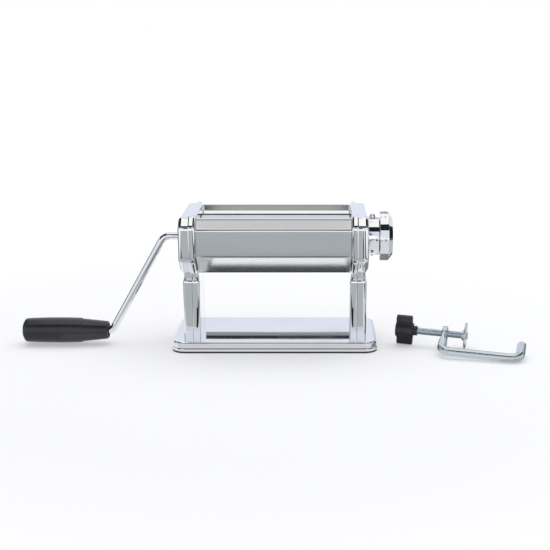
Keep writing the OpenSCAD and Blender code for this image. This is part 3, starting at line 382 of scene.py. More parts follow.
def turned(profile, sides=96, centre=(0.0, 0.0), ring=False):
    """Points and faces of a shape turned round the X axis, from (x, radius)."""
    points, rows, faces = [], [], []
    for x, r in profile:
        first = len(points)
        if r < 1e-6:
            points.append((x, centre[0], centre[1]))
            rows.append([first])
            continue
        points += [(x, centre[0] + r * cos(a), centre[1] + r * sin(a)) for a in around(sides)]
        rows.append(list(range(first, first + sides)))
    pairs = list(zip(rows, rows[1:])) + ([(rows[-1], rows[0])] if ring else [])
    for one, two in pairs:
        for i in range(sides):
            j = (i + 1) % sides
            quad = [one[i % len(one)], one[j % len(one)], two[j % len(two)], two[i % len(two)]]
            faces.append(tuple(dict.fromkeys(quad)))
    return points, [f for f in faces if len(f) > 2]


def rod(path, radii, sides, cap):
    """Points and faces of a round rod along a 3-D path with rounded ends.
    radii is a number, or one (across, along) pair for each path point. cap is
    the ends' rounding as a share of the radius."""
    path = [Vector(p) for p in path]
    if not isinstance(radii, list):
        radii = [(radii, radii)] * len(path)
    ways = [(path[min(i + 1, len(path) - 1)] - path[max(i - 1, 0)]).normalized() for i in range(len(path))]
    side = ways[0].cross(Vector((0, 0, 1)) if abs(ways[0].z) < 0.9 else Vector((0, 1, 0))).normalized()
    rings = []

    def ring(spot, way, across, along):
        nonlocal side
        side = (side - way * side.dot(way)).normalized()
        up = way.cross(side)
        rings.append([tuple(spot + side * (across * cos(a)) + up * (along * sin(a))) for a in around(sides)])

    def rounding(spot, way, inwards, r, slopes):
        c = cap * r
        for a in slopes:
            ring(spot + inwards * (c - c * sin(a)), way, *[r - c + c * cos(a)] * 2)

    rounding(path[0], ways[0], ways[0], radii[0][0], angles(80, 30, -25))
    ring(path[0] + ways[0] * cap * radii[0][0], ways[0], *radii[0])
    for spot, way, size in zip(path[1:-1], ways[1:-1], radii[1:-1]):
        ring(spot, way, *size)
    ring(path[-1] - ways[-1] * cap * radii[-1][0], ways[-1], *radii[-1])
    rounding(path[-1], ways[-1], -ways[-1], radii[-1][0], angles(30, 80, 25))
    return tube(rings)


def join(*parts):
    """Several (points, faces) pairs as one."""
    points, faces = [], []
    for more_points, more_faces in parts:
        shift = len(points)
        points += list(more_points)
        faces += [tuple(i + shift for i in f) for f in more_faces]
    return points, faces


def arc(centre, r, start, end, parts):
    """Points of a 2-D arc, angles in degrees."""
    turns = (radians(start + (end - start) * k / parts) for k in range(parts + 1))
    return [(centre[0] + r * cos(a), centre[1] + r * sin(a)) for a in turns]


def step(low, high, x):
    """A soft step from 0 to 1 between low and high."""
    t = min(1, max(0, (x - low) / (high - low)))
    return t * t * (3 - 2 * t)


# -------- covers
TOP_CUT, TOP_ROUND, LOW_CUT, LOW_ROUND = 10.0, 7.5, 16.0, 9.5  # corners of a head
NECK_SIDE, NECK_ROUND, LEG_SIDE, SHOULDER, SHOULDER_DROP = 21.75, 2.2, 26.5, 4.75, 5.6
# How much smaller the outer covers are: heads, corner cuts, corner roundings, necks and legs
HEAD_STEP, CUT_STEP, ROUND_STEP, LEG_STEP = 1.5, 0.88, 0.5, 0.75
SEAM_LIP = 1.4  # radius of the inner covers' rim at the seam
TO_NECK, TO_HEAD = (LEG_TOP - 5.0, LEG_TOP + 0.6), (HEAD_LOW - 0.8, HEAD_LOW + 6.5)  # heights of the blends
LEG_Z = (BASE_H, 24, 38, 52)
GUIDE_Z = [60, 63, *range(66, 86), 87, 90, 94, 98, 102, 106]  # rows of points in a cover's face
GUIDE_WIDTH, GUIDE_CLEAR, GUIDE_COUNT = 2.4, 1.2, 16  # apart, from the edge, and how many each way
CRANK_HOLE, DIAL_HOLE, SCREW_HOLE, FRONT_JOURNAL, REAR_JOURNAL = 8.44, 9.05, 3.66, 8.6, 6.8


def cover_outline(smaller):
    """Open line round one side housing, up its rear and down its front. It is
    the inner cover's with smaller 0 and the outer cover's with smaller 1."""
    side, top, low = HEAD_SIDE - smaller * HEAD_STEP, HEAD_TOP - smaller * HEAD_STEP, HEAD_LOW + smaller * HEAD_STEP
    cut_top, cut_low = TOP_CUT - smaller * CUT_STEP, LOW_CUT - smaller * CUT_STEP
    round_top, round_low = TOP_ROUND - smaller * ROUND_STEP, LOW_ROUND - smaller * ROUND_STEP
    neck, leg = NECK_SIDE - smaller * LEG_STEP, LEG_SIDE - smaller * LEG_STEP
    line = [(leg, z) for z in LEG_Z]
    line += [(leg - SHOULDER + SHOULDER * cos(a), LEG_TOP - SHOULDER_DROP + SHOULDER_DROP * sin(a))
             for a in angles(0, 90, 10)]
    line += [(neck, low), (side - cut_low, low), (side, low + cut_low), (side, top - cut_top), (side - cut_top, top)]
    radii = [0] * (len(line) - 5) + [NECK_ROUND, round_low, round_low, round_top, round_top]
    return rounded(line + [(-y, z) for y, z in reversed(line)], radii + radii[::-1])


def inside(p, ring):
    """Whether a 2-D point lies inside a closed ring of points."""
    hit = False
    for a, b in zip(ring, ring[1:] + ring[:1]):
        if (a[1] > p[1]) != (b[1] > p[1]) and p[0] < (b[0] - a[0]) * (p[1] - a[1]) / (b[1] - a[1]) + a[0]:
            hit = not hit
    return hit


def pressed_cover(sign, line, rings, face_x, holes):
    """A pressed cover: its wall in rings from the seam, then its face.
    rings(z) gives (x, inset) pairs, face_x(z) where the face lies."""
    ways, wall = inward(line, False), []
    for k in range(len(rings(HEAD_TOP))):
        ring = []
        for p, way in zip(line, ways):
            x, inset = rings(p.y)[k]
            at = p + way * inset
            ring.append((sign * x, at.x, max(at.y, BASE_H)))
        wall.append(ring)
    points, rows = stacked(wall)
    faces = walls(rows, closed=False)
    edge = [Vector(p[1:]) for p in wall[-1]]
    flat, ties = [], []
    for shape in [edge] + holes:
        first = len(flat)
        flat += [Vector(p) for p in shape]
        ties += [(first + i, first + (i + 1) % len(shape)) for i in range(len(shape))]
    for z in GUIDE_Z:
        for k in range(-GUIDE_COUNT, GUIDE_COUNT + 1):
            p = Vector((k * GUIDE_WIDTH, z))
            if inside(p, edge) and min((p - e).length for e in edge) > GUIDE_CLEAR:
                flat.append(p)
    spots, _, cells, *_ = delaunay_2d_cdt(flat, ties, [], 0, 0.001)
    shift = len(points)
    points += [(sign * face_x(p.y), p.x, p.y) for p in spots]
    for cell in cells:
        middle = sum((spots[i] for i in cell), Vector((0, 0))) / len(cell)
        if inside(middle, edge) and not any(inside(middle, shape) for shape in holes):
            faces.append(tuple(i + shift for i in cell))
    return points, faces


def circle(y, z, r, count):
    return [(y + r * cos(a), z + r * sin(a)) for a in around(count)]


def slotted(y, z, r, travel):
    """Outline of a round hole drawn out by its travel towards the rear."""
    return ([(y + travel + r * cos(a), z + r * sin(a)) for a in angles(-90, 90, 9)]
            + [(y + r * cos(a), z + r * sin(a)) for a in angles(90, 270, 9)])


def level(z, head, neck, leg):
    """A value that goes from the leg's to the neck's to the head's going up."""
    return leg + (neck - leg) * step(*TO_NECK, z) + (head - neck) * step(*TO_HEAD, z)


# Where a cover's face lies at a height, and its wall from the seam as (x, inset)
def outer_face(z):
    return level(z, OUTER_X, LEG_X - 1.0, LEG_X)


def outer_rings(z):
    r, x1 = level(z, 4.6, 3.0, 3.5), outer_face(z)
    wall = [(SEAM_X + 0.02, 0.0), (SEAM_X + 0.4, 0.0), ((SEAM_X + x1 - r) / 2, 0.0)]
    return wall + [(x1 - r + r * sin(a), r - r * cos(a)) for a in angles(0, 90, 10)]


def inner_face(z):
    return level(z, HALF, HALF + 0.5, HALF - 1.0)


def inner_rings(z):
    x1, r, lip = inner_face(z), level(z, 3.4, 2.2, 3.2), SEAM_LIP
    seam = [(SEAM_X, 2.6), (SEAM_X, lip)]
    seam += [(SEAM_X - lip + lip * sin(a), lip - lip * cos(a)) for a in angles(75, 0, -15)]
    return seam + [((x1 + r + SEAM_X - lip) / 2, 0.0)] + [
        (x1 + r - r * sin(a), r - r * cos(a)) for a in angles(0, 90, 15)]


INNER_LINE, OUTER_LINE = cover_outline(0), cover_outline(1)
SCREWS = ((-HEAD_POST[0], HEAD_POST[1], OUTER_X), (*HEAD_POST, OUTER_X), (0.0, POST_Z, LEG_X))
SCREW_HOLES = [circle(y, z, SCREW_HOLE, 32) for y, z, _ in SCREWS]
JOURNALS = [circle(CRANK_Y, ROLLER_Z, FRONT_JOURNAL, 64), slotted(REAR_Y, ROLLER_Z, REAR_JOURNAL, GAP_TRAVEL)]
for sign, word, bore_r in ((-1, "left", CRANK_HOLE), (1, "right", DIAL_HOLE)):
    bore = circle(CRANK_Y, ROLLER_Z, bore_r, 64)
    for part, way, *shape in (("outer", sign, OUTER_LINE, outer_rings, outer_face, [bore] + SCREW_HOLES),
                              ("inner", -sign, INNER_LINE, inner_rings, inner_face, JOURNALS)):
        piece(f"{word}_{part}_housing", *pressed_cover(sign, *shape), "chromed_sheet", "machine",
              [f"{word}_{part}_cover"], out=(way, 0, 0), wall=COVER_WALL, sharp=38)


# -------- panels
PANEL_GAP, PANEL_TURN = 0.1, 1.1  # to the housings, and radius of the sheet's turned ends
PANEL_Y, PANEL_TOP, SLOPE_TOP, SLOPE_Y, PANEL_LOW = 46.0, 125.1, 98.4, 29.5, 78.8
BEAD_AT, BEAD_R = (-33.52, 132.21), 2.2


def swept_sheet(line, side):
    """Points and faces of a line in Y and Z drawn from one housing to the
    other, its two ends turned in a little round a small radius."""
    ways, r, x = inward(line, False), PANEL_TURN, HALF - PANEL_GAP
    turn = [(x - r + r * sin(a), r - r * cos(a)) for a in angles(0, 90, 15)]
    cuts = [(-cx, inset) for cx, inset in reversed(turn)] + [(-x / 2, 0.0), (0.0, 0.0), (x / 2, 0.0)] + turn
    points, rows = stacked([[(cx, p.x + side * w.x * inset, p.y + side * w.y * inset) for p, w in zip(line, ways)]
                            for cx, inset in cuts])
    return points, walls(rows, closed=False)


bead = arc(BEAD_AT, BEAD_R, 45, 166, 14)
front_line = rounded(
    [(-25.9, 127.7)] + bead + [(-PANEL_Y, PANEL_TOP), (-PANEL_Y, SLOPE_TOP), (-SLOPE_Y, PANEL_LOW),
                               (-26.6, PANEL_LOW)], [0] * 16 + [3.0, 4.5, 1.8, 0], step=9)
rear_line = rounded(
    [(32.6, 126.6), (35.6, 129.4), (37.7, 137.0), (PANEL_Y, PANEL_TOP), (PANEL_Y, SLOPE_TOP), (SLOPE_Y, PANEL_LOW),
     (23.5, PANEL_LOW)], [0, 0.8, 1.2, 1.8, 2.6, 2.0, 0], step=12)
for word, line, way in (("front", front_line, -1), ("rear", rear_line, 1)):
    piece(word + "_apron", *swept_sheet(line, -way), "brushed_sheet", "machine", [word + "_panel"],
          out=(0, way, 0), wall=PANEL_WALL, wall_side=0.0)


# -------- base tray
FLANGE_OUT, EDGE_R = 1.3, 2.2  # how far the flange stands out, and the top edge's radius
NOTCH, NOTCH_TOP = 5.44, 10.1  # half width and height of the notch for the clamp socket


def tray():
    """The base tray: flange, wall and rounded top edge, open underneath, with
    a notch at the rear for the clamp socket."""
    w, d, r = BASE_W / 2, BASE_D / 2, BASE_CORNER
    line = []
    for cx, cy, start in ((w - r, -d + r, -90), (w - r, d - r, 0), (-w + r, d - r, 90), (-w + r, -d + r, 180)):
        line += [Vector(p) for p in arc((cx, cy), r, start, start + 90, 12)]
        if start == 0:
            line += [Vector((NOTCH, d)), Vector((-NOTCH, d))]
    section = [(0.8, 1.6), (0.25, 1.75), (0.0, 2.2), (0.0, 3.3), (0.22, 3.95), (0.75, 4.2), (1.05, 4.32),
               (FLANGE_OUT, 4.7), (FLANGE_OUT, 6.6)]
    section += [(FLANGE_OUT + EDGE_R - EDGE_R * cos(a), BASE_H - EDGE_R + EDGE_R * sin(a)) for a in angles(0, 90, 10)]
    ways = inward(line, True)
    points, rows = stacked([[(p.x + way.x * inset, p.y + way.y * inset, z) for p, way in zip(line, ways)]
                            for inset, z in section])

    def in_notch(face):
        one, other, _, above = (points[i] for i in face)
        return abs(one[0]) < NOTCH + 0.06 and abs(other[0]) < NOTCH + 0.06 and one[1] > 0 and above[2] < NOTCH_TOP

    return points, [face for face in walls(rows) if not in_notch(face)] + [tuple(rows[-1])]


piece("base_plinth", *tray(), "polished_steel", "machine", ["base_tray"], out=(0, 0, 1), wall=PANEL_WALL, sharp=30)


# -------- crank and its grip
crank_line = rounded([(-69.84, ROLLER_Z), (-110.8, ROLLER_Z), (-166.8, GRIP_Z), (-253.4, GRIP_Z)], [0, 11.0, 6.5, 0],
                     step=5)
crank_path = [(p.x, CRANK_Y, p.y) for p in crank_line]
piece("crank_rod", *rod(crank_path, ROD_R, 48, 0.22), "chromed_metal", "crank", ["crank_arm"], sharp=40)

GRIP_START, GRIP_LEN, GRIP_R, GRIP_NECK, GRIP_COLLAR = 170.88, 86.5, 12.95, 9.0, 27.5
GRIP_BORE, GRIP_ROUND = ROD_R + 0.06, 3.3
POCKET, POCKET_END, POCKET_R = 78.1, 83.1, 6.6  # room for the ring that keeps the grip on the rod


def barrel(x):
    """Radius of the grip's barrel, which swells most at two fifths of its length."""
    u = (x - GRIP_COLLAR) / (GRIP_LEN - GRIP_COLLAR)
    return GRIP_R - 0.7 * (2 * (u - 0.4)) ** 2


def grip():
    """The grip: domed end, swelling barrel, soft shoulder and tapered collar
    with a shallow recess round the rod."""
    profile = [(POCKET_END, 0.0), (POCKET_END, POCKET_R), (POCKET, POCKET_R), (POCKET, GRIP_BORE), (1.6, GRIP_BORE),
               (1.6, 7.1), (0.0, 8.0), (0.0, 8.3), (0.25, 8.75), (0.7, 8.95)]
    shoulder = barrel(GRIP_COLLAR)
    rise = shoulder - 0.75 - GRIP_NECK
    profile += [(x, GRIP_NECK + rise * x / 26.6) for x in (2 + k * 3.0 for k in range(9))]
    profile += [(26.4, shoulder - 0.62), (26.9, shoulder - 0.38), (27.4, shoulder - 0.12)]
    first, last = 28.1, GRIP_LEN - 4.2
    profile += [(first, barrel(first) - 0.01)]
    profile += [(x, barrel(x)) for x in (first + (last - first) * k / 12 for k in range(1, 13))]
    profile += [(last + GRIP_ROUND * sin(a), barrel(last) - GRIP_ROUND * (1 - cos(a))) for a in angles(10, 80, 10)]
    end_x, end_r = profile[-1]
    profile += [(end_x + (GRIP_LEN - end_x) * (1 - (r / end_r) ** 2), r) for r in (7.0, 5.0, 3.0, 1.2)]
    profile += [(GRIP_LEN, 0.0)]
    return turned([(-GRIP_START - x, r) for x, r in profile], 96, (CRANK_Y, GRIP_Z))


piece("crank_handle_grip", *grip(), "black_grip", "grip", ["crank_grip"], sharp=38)


# -------- collar and dial
SHAFT = (CRANK_Y, ROLLER_Z)
LOCK_BORE, DIAL_BORE, CHAMBER_R, DISC_SEAT_R, DISC_DEEP = 4.54, 4.6, 13.2, 15.45, 1.1
BEVEL_AT, BEVEL_R = 8.9, 19.4  # the dial's bevel: how far from its back it starts, and its radius in front


def collar():
    """The fixed collar, with the ring groove that the dial's pin runs in."""
    x0, x1, r = OUTER_X, COLLAR_FRONT, COLLAR_R
    outer = rounded([(x0 + 1.2, 9.0), (x0 + 1.2, r - 2.2), (x0, r - 2.2), (x0, r), (x1, r), (x1, 15.8)],
                    [0, 0, 0.25, 0.6, 0.5, 0], step=18)
    groove = [(x1 - 1.8, 15.35), (x1 - 1.8, 11.85), (x1, 11.85)]
    return turned(outer + groove + [(x1, LOCK_BORE), (x0 - 3.1, LOCK_BORE), (x0 - 3.1, 9.0)], 96, SHAFT, ring=True)


piece("dial_collar_ring", *collar(), "chromed_metal", "machine", ["dial_collar"], sharp=30)


def domed_screw():
    """Slotted screw with a domed head, its axis along X, head outwards."""
    tip, top, shank_r, head_r = -8.0, 4.4, 1.6, 3.1
    head = rounded([(tip, shank_r), (0.0, shank_r), (0.0, head_r), (2.8, head_r), (top, 0.0)], [0, 0, 0.3, 1.5, 0],
                   step=12)[:-1]
    x, r = head[-1]
    dome = [(x + (top - x) * sin(a), r * cos(a)) for a in angles(20, 80, 20)]
    points, faces = turned([(tip, 0.0)] + head + dome + [(top, 0.0)], 64)
    slot = [1.3 * (1 - step(0.4, 0.65, abs(z))) if x > 2.4 else 0.0 for x, _, z in points]
    return [(x - deep, y, z) for (x, y, z), deep in zip(points, slot)], faces


screw_points, screw_faces = domed_screw()
collar_middle = Matrix.Translation((OUTER_X + 0.4 * (COLLAR_FRONT - OUTER_X), *SHAFT))
up, down = (collar_middle @ Matrix.Rotation(radians(a), 4, "Y") for a in (-90, 90))
top_screw = moved(up @ Matrix.Translation((COLLAR_R - 0.25, 0, 0)), screw_points), screw_faces
grub = turned([(8.0, 0.0), (8.0, 1.9), (19.6, 1.9), (20.0, 1.5), (20.0, 0.7), (19.2, 0.6), (19.2, 0.0)], 40)
piece("collar_screw_pair", *join(top_screw, (moved(down, grub[0]), grub[1])), "chromed_metal", "machine",
      ["collar_screws"], sharp=35)


def dial():
    """The dial: back web, rim with broken edges, front bevel, the disc's seat
    and the room for the spring behind it."""
    b, front = DIAL_BACK, DIAL_BACK + DIAL_DEEP
    line = rounded([(b, DIAL_BORE), (b, DIAL_R), (b + BEVEL_AT, DIAL_R), (front, BEVEL_R), (front, DISC_SEAT_R)],
                   [0, 0.7, 0.5, 0.5, 0], step=15)
    seat_x, web_x = front - DISC_DEEP, b + DIAL_WEB
    room = [(seat_x, DISC_SEAT_R), (seat_x, CHAMBER_R), (web_x, CHAMBER_R), (web_x, DIAL_BORE)]
    return turned(line + room, 128, SHAFT, ring=True)


piece("thickness_dial", *dial(), "chromed_metal", "dial_knob_set", ["dial_knob"], sharp=28)


def dial_disc():
    """The front disc: fine turned rings round a shallow groove."""
    front = DIAL_BACK + DIAL_DEEP
    face, sunk = front - 0.02, front - 0.12
    profile = [(front - DISC_DEEP, 0.0), (front - DISC_DEEP, 15.38), (front - 0.25, 15.38), (face, 15.1),
               (face, 12.0), (sunk, 11.7), (sunk, 7.0), (face, 6.7)]
    profile += [(face - 0.42 * sin(a), 6.15 + 0.45 * cos(a)) for a in angles(0, 180, 20)]
    profile += [(face, 5.4), (face, 1.6), (front - 0.3, 1.3), (front - 0.3, 0.0)]
    return turned(profile, 96, SHAFT)


piece("dial_front_disc", *dial_disc(), "chromed_metal", "dial_knob_set", ["dial_cap"], sharp=28)


def wrapped(flat_mesh, x0, angle, r):
    """A flat drawing in millimetres laid round the dial's axis. Its upright
    runs round the axis, and angle 0 is the side that faces the user."""
    shape = bmesh.new()
    shape.from_mesh(flat_mesh)
    low = min(v.co.y for v in shape.verts)
    high = max(v.co.y for v in shape.verts)
    cuts = max(1, int((high - low) / 0.35))
    for k in range(1, cuts):
        everything = shape.verts[:] + shape.edges[:] + shape.faces[:]
        bmesh.ops.bisect_plane(shape, geom=everything, plane_co=(0, low + (high - low) * k / cuts, 0),
                               plane_no=(0, 1, 0))
    shape.verts.ensure_lookup_table()
    points = []
    for v in shape.verts:
        a = radians(angle) + v.co.y / r
        points.append((x0 + v.co.x, CRANK_Y - (r + INK_RISE) * cos(a), ROLLER_Z + (r + INK_RISE) * sin(a)))
    faces = [tuple(v.index for v in f.verts) for f in shape.faces]
    shape.free()
    return points, faces


def evaluated(thing):
    """A new mesh of what an object shows, its modifiers counted in."""
    bpy.context.view_layer.update()
    return bpy.data.meshes.new_from_object(thing.evaluated_get(bpy.context.evaluated_depsgraph_get()))


def figure(number, height):
    """A plain numeral as a flat mesh, centred, in millimetres."""
    curve = bpy.data.curves.new("figure", "FONT")
    curve.body, curve.size, curve.align_x, curve.align_y = str(number), height / 0.7, "CENTER", "CENTER"
    curve.resolution_u = 4
    thing = placed("figure", curve)
    drawing = evaluated(thing)
    bpy.data.objects.remove(thing)
    bpy.data.curves.remove(curve)
    return drawing


SETTINGS, SETTING_TURN, FIGURE_HEIGHT = 9, 30.0, 3.0
FIGURES_X, TICKS_X, DOT_X, ARROW_X = DIAL_BACK + 5.6, DIAL_BACK + 1.9, DIAL_BACK + 7.2, OUTER_X + 8.4
DOT_TURN, ARROW_TURN = -49.0, -2.0
figures = [wrapped(figure(SETTINGS - k, FIGURE_HEIGHT), FIGURES_X, SETTING_TURN * k, DIAL_R) for k in range(SETTINGS)]
piece("dial_figures", *join(*figures), "engraving_ink", "dial_knob_set", out=(0, -1, 0))


# -------- repeats by a node tree
def scattered(name, item, spots, turns, slot, body, stands_for=()):
    """Copies of one item on a list of spots, each turned by its three angles in
    degrees, made by a Geometry Nodes tree."""
    host_mesh = bpy.data.meshes.new(name)
    host_mesh.from_pydata([Vector(s) * MM for s in spots], [], [])
    twist = host_mesh.attributes.new("twist", "FLOAT_VECTOR", "POINT")
    for i, turn in enumerate(turns):
        twist.data[i].vector = [radians(a) for a in turn]
    item_mesh = bpy.data.meshes.new(name + "_item")
    item_mesh.from_pydata([Vector(p) * MM for p in item[0]], [], item[1])
    neat = bmesh.new()
    neat.from_mesh(item_mesh)
    bmesh.ops.remove_doubles(neat, verts=neat.verts, dist=1e-7)
    bmesh.ops.recalc_face_normals(neat, faces=neat.faces)
    neat.to_mesh(item_mesh)
    neat.free()
    host, copied = placed(name + "_host", host_mesh), placed(name + "_item", item_mesh)

    tree = bpy.data.node_groups.new(name, "GeometryNodeTree")
    inputs = [tree.interface.new_socket(label, in_out="INPUT", socket_type="NodeSocket" + kind).identifier
              for label, kind in (("Geometry", "Geometry"), ("Item", "Object"), ("Size", "Float"),
                                  ("Finish", "Material"))]
    tree.interface.new_socket("Geometry", in_out="OUTPUT", socket_type="NodeSocketGeometry")
    group = tree.nodes.new("NodeGroupInput").outputs
    where, what, size, coat = (Wire(tree, group[i]) for i in range(len(inputs)))
    info = where.node("GeometryNodeObjectInfo", {"Object": what}, "Geometry")
    turn = where.node("GeometryNodeInputNamedAttribute", {"Name": "twist"}, "Attribute", data_type="FLOAT_VECTOR")
    put = where.node("GeometryNodeInstanceOnPoints", {"Points": where, "Instance": info, "Rotation": turn,
                                                      "Scale": size})
    real = put.node("GeometryNodeRealizeInstances", {"Geometry": put})
    paint = real.node("GeometryNodeSetMaterial", {"Geometry": real, "Material": coat})
    tree.links.new(paint.socket, tree.nodes.new("NodeGroupOutput").inputs["Geometry"])
    made = host.modifiers.new("repeat", "NODES")
    made.node_group = tree
    for key, value in zip(inputs[1:], (copied, 1.0, FINISH[slot])):
        made[key] = value
    result = evaluated(host)
    bpy.data.objects.remove(host)
    bpy.data.objects.remove(copied)
    return dress(result, name, slot, body, stands_for, 35.0)


def crosshead_screw():
    """Countersunk screw along +X, its face at x 0, with a cross recess."""
    profile = [(-6.0, 0.0), (-6.0, 1.6), (-5.7, 1.9), (-1.75, 1.9), (-0.12, 3.5), (0.0, 3.45), (0.05, 2.9),
               (0.08, 2.3)] + [(0.1, r) for r in (1.9, 1.5, 1.1, 0.7, 0.35, 0.0)]
    points, faces = turned(profile, 72)
    sunk = []
    for x, y, z in points:
        r, arm = hypot(y, z), min(abs(y), abs(z))
        deep = 1.2 * (1 - step(0.28, 0.5, arm)) * (1 - step(1.7, 2.1, r)) if x > -0.05 else 0.0
        sunk.append((x - deep, y, z))
    return sunk, faces


SCREW_SUNK = 0.12
screw_spots, screw_turns = [], []
for sign in (-1, 1):
    for y, z, face in SCREWS:
        screw_spots.append((sign * (face - SCREW_SUNK), y, z))
        screw_turns.append((23.0 * (y + z) % 90, 0, 0 if sign > 0 else 180))
scattered("housing_screws", crosshead_screw(), screw_spots, screw_turns, "zinc_steel", "machine", ["cover_screws"])


def tick():
    """One engraved line of the dial's rim, seen from outside, length along X."""
    r, w, ends = DIAL_R + INK_RISE, 0.22, (-0.9, 0.9)
    high = sqrt(r * r - w * w)
    front = [(x, -high, z) for z in (-w, w) for x in ends]
    back = [(x, -high + 0.2, z) for z in (-w, w) for x in ends]
    faces = [(0, 1, 3, 2), (4, 6, 7, 5), (0, 4, 5, 1), (2, 3, 7, 6), (0, 2, 6, 4), (1, 5, 7, 3)]
    return front + back, faces


tick_turns = [(-SETTING_TURN * k, 0, 0) for k in range(SETTINGS)]
scattered("dial_ticks", tick(), [(TICKS_X, *SHAFT)] * SETTINGS, tick_turns, "engraving_ink", "dial_knob_set")


def flat(name, points, faces):
    """A flat drawing as a mesh."""
    mesh = bpy.data.meshes.new(name)
    mesh.from_pydata([(x, y, 0) for x, y in points], [], faces)
    return mesh


arrow = flat("pointer", [(-1.5, -1.5), (1.6, 0), (-1.5, 1.5), (-0.7, 0)], [(0, 1, 3), (3, 1, 2)])
piece("index_arrow", *wrapped(arrow, ARROW_X, ARROW_TURN, COLLAR_R), "engraving_ink", "machine", out=(0, -1, 0))
dot = flat("dot", [(0.75 * cos(a), 0.75 * sin(a)) for a in angles(0, 345, 15)], [tuple(range(24))])
piece("dial_dot", *wrapped(dot, DOT_X, DOT_TURN, DIAL_R), "engraving_ink", "dial_knob_set", out=(0, -1, 0))


# -------- springs
def coil(length, r, wire, turns):
    """A coil spring along +X from x 0, half a turn lying flat at each end."""
    rings, parts, sides = [], 24, 10
    for i in range(turns * parts + 1):
        climb = min(1, max(0, (i / parts - 0.5) / (turns - 1)))
        x, a, ring = wire + (length - 2 * wire) * climb, 2 * pi * i / parts, []
        for b in around(sides):
            q = r + wire * cos(b)
            ring.append((x + wire * sin(b), q * cos(a), q * sin(a)))
        rings.append(ring)
    return tube(rings)


# Each spring keeps the end that its stop holds
BLOCK_X, BLOCK_END, BLOCK_LONG, BLOCK_PLAY = 79.75, 44.4, 19.3, 0.1
points, faces = coil(BLOCK_LONG - BLOCK_PLAY, 1.8, 0.35, 8)
along_y = [Matrix.Translation((x, BLOCK_END - BLOCK_LONG, ROLLER_Z)) @ Matrix.Rotation(radians(90), 4, "Z")
           for x in (-BLOCK_X, BLOCK_X)]
spring = piece("block_coil_springs", *join(*((moved(place, points), faces) for place in along_y)), "spring_steel",
               "machine", ["block_springs"], sharp=60)
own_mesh(spring)
DIAL_SPRING_LONG = SHAFT_END - DIAL_BACK - DIAL_WEB
spring = piece("dial_coil_spring", *coil(DIAL_SPRING_LONG, 5.9, 0.4, 3), "spring_steel", "dial_shaft_set",
               ["dial_spring"], sharp=60, place=Matrix.Translation((SHAFT_END - DIAL_SPRING_LONG, *SHAFT)))
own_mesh(spring)


# -------- table clamp
HOOK_R, RUN, EYE_ARM, PLUG_ARM, BEND_R = 4.5, 77.4, 33.6, 26.2, 9.0
EYE_R, EYE_HALF, EYE_BORE = 7.6, 2.7, 3.76
DIP, TURN, TILT = (radians(a) for a in (1.9, -13.2, 14.4))
CLAMP = (Matrix.Translation((164.4, -61.5, HOOK_R + 0.1 + (RUN - BEND_R) * sin(DIP)))
         @ Matrix.Rotation(TURN, 4, "Z") @ Matrix.Rotation(DIP, 4, "Y") @ Matrix.Rotation(TILT, 4, "X"))
SCREW = CLAMP @ Matrix.Translation((0, EYE_ARM, 0))


def hook():
    """Bent rod, flattened to an eye at the screw's end."""
    line = rounded([(0.0, EYE_ARM - 4.0), (0.0, 0.0), (RUN, 0.0), (RUN, PLUG_ARM)], [0, BEND_R, BEND_R, 0], step=6)
    path, radii = [], []
    for y in (EYE_ARM - 2.0 * k for k in range(2, 10)):
        flatness = 1 - step(EYE_ARM - 18.0, EYE_ARM - 8.0, y)
        path.append((0.0, y, 0.0))
        radii.append((EYE_HALF + 1.8 * flatness, 6.2 - 1.7 * flatness))
    path += [(p.x, p.y, 0.0) for p in line[1:]]
    radii += [(HOOK_R, HOOK_R)] * (len(line) - 1)
    points, faces = turned(rounded([(-EYE_HALF, EYE_BORE), (EYE_HALF, EYE_BORE), (EYE_HALF, EYE_R), (-EYE_HALF, EYE_R)],
                                   [0.3, 0.3, 0.9, 0.9], closed=True, step=20), 72, ring=True)
    return join(rod(path, radii, 40, 0.2), ([(x, y + EYE_ARM, z) for x, y, z in points], faces))


piece("clamp_bent_rod", *hook(), "zinc_plate", "clamp_hook_body", ["clamp_hook"], place=CLAMP, sharp=40)

CORE_R, CREST_R, PITCH = 3.05, 3.7, 1.25
THREAD_START, THREAD_END, DISC_BACK, DISC_FACE, TIP_R = -45.2, 17.1, 17.15, 21.5, 2.6


def thread():
    """The clamp screw's thread between two plain ends."""
    long, sides, rings = THREAD_END - THREAD_START, 32, []
    count = int(long / PITCH * 6)
    for i in range(count + 1):
        x, ring = THREAD_START + long * i / count, []
        fade = step(0, 1.2, x - THREAD_START) * step(0, 1.2, THREAD_END - x)
        for k, a in enumerate(around(sides)):
            phase = (x / PITCH - k / sides) % 1
            tooth = max(0.0, min(1.0, 2.4 * (0.5 - abs(phase - 0.5)) - 0.1))
            r = CORE_R + (CREST_R - CORE_R) * (tooth * fade + (1 - fade) * 0.5)
            ring.append((x, r * cos(a), r * sin(a)))
        rings.append(ring)
    return tube(rings)


def screw_with_rivet():
    """Threaded screw with its peened, roughly square rivet in the disc."""
    neck = turned([(17.0, 0.0), (17.0, TIP_R), (21.9, TIP_R), (21.9, 0.0)], 40)
    rings = []
    for x, share in ((21.8, 0.98), (22.3, 1.0), (22.9, 0.93), (23.2, 0.78)):
        ring = []
        for a in around(40):
            c, s = cos(a), sin(a)
            bulge = (abs(c) ** 5 + abs(s) ** 5) ** -0.2
            ring.append((x, 2.5 * share * bulge * c, 3.4 * share * bulge * s))
        rings.append(ring)
    return join(thread(), neck, tube(rings))


piece("clamp_threaded_screw", *screw_with_rivet(), "zinc_plate", "clamp_screw_set", ["clamp_screw"], place=SCREW,
      sharp=50)


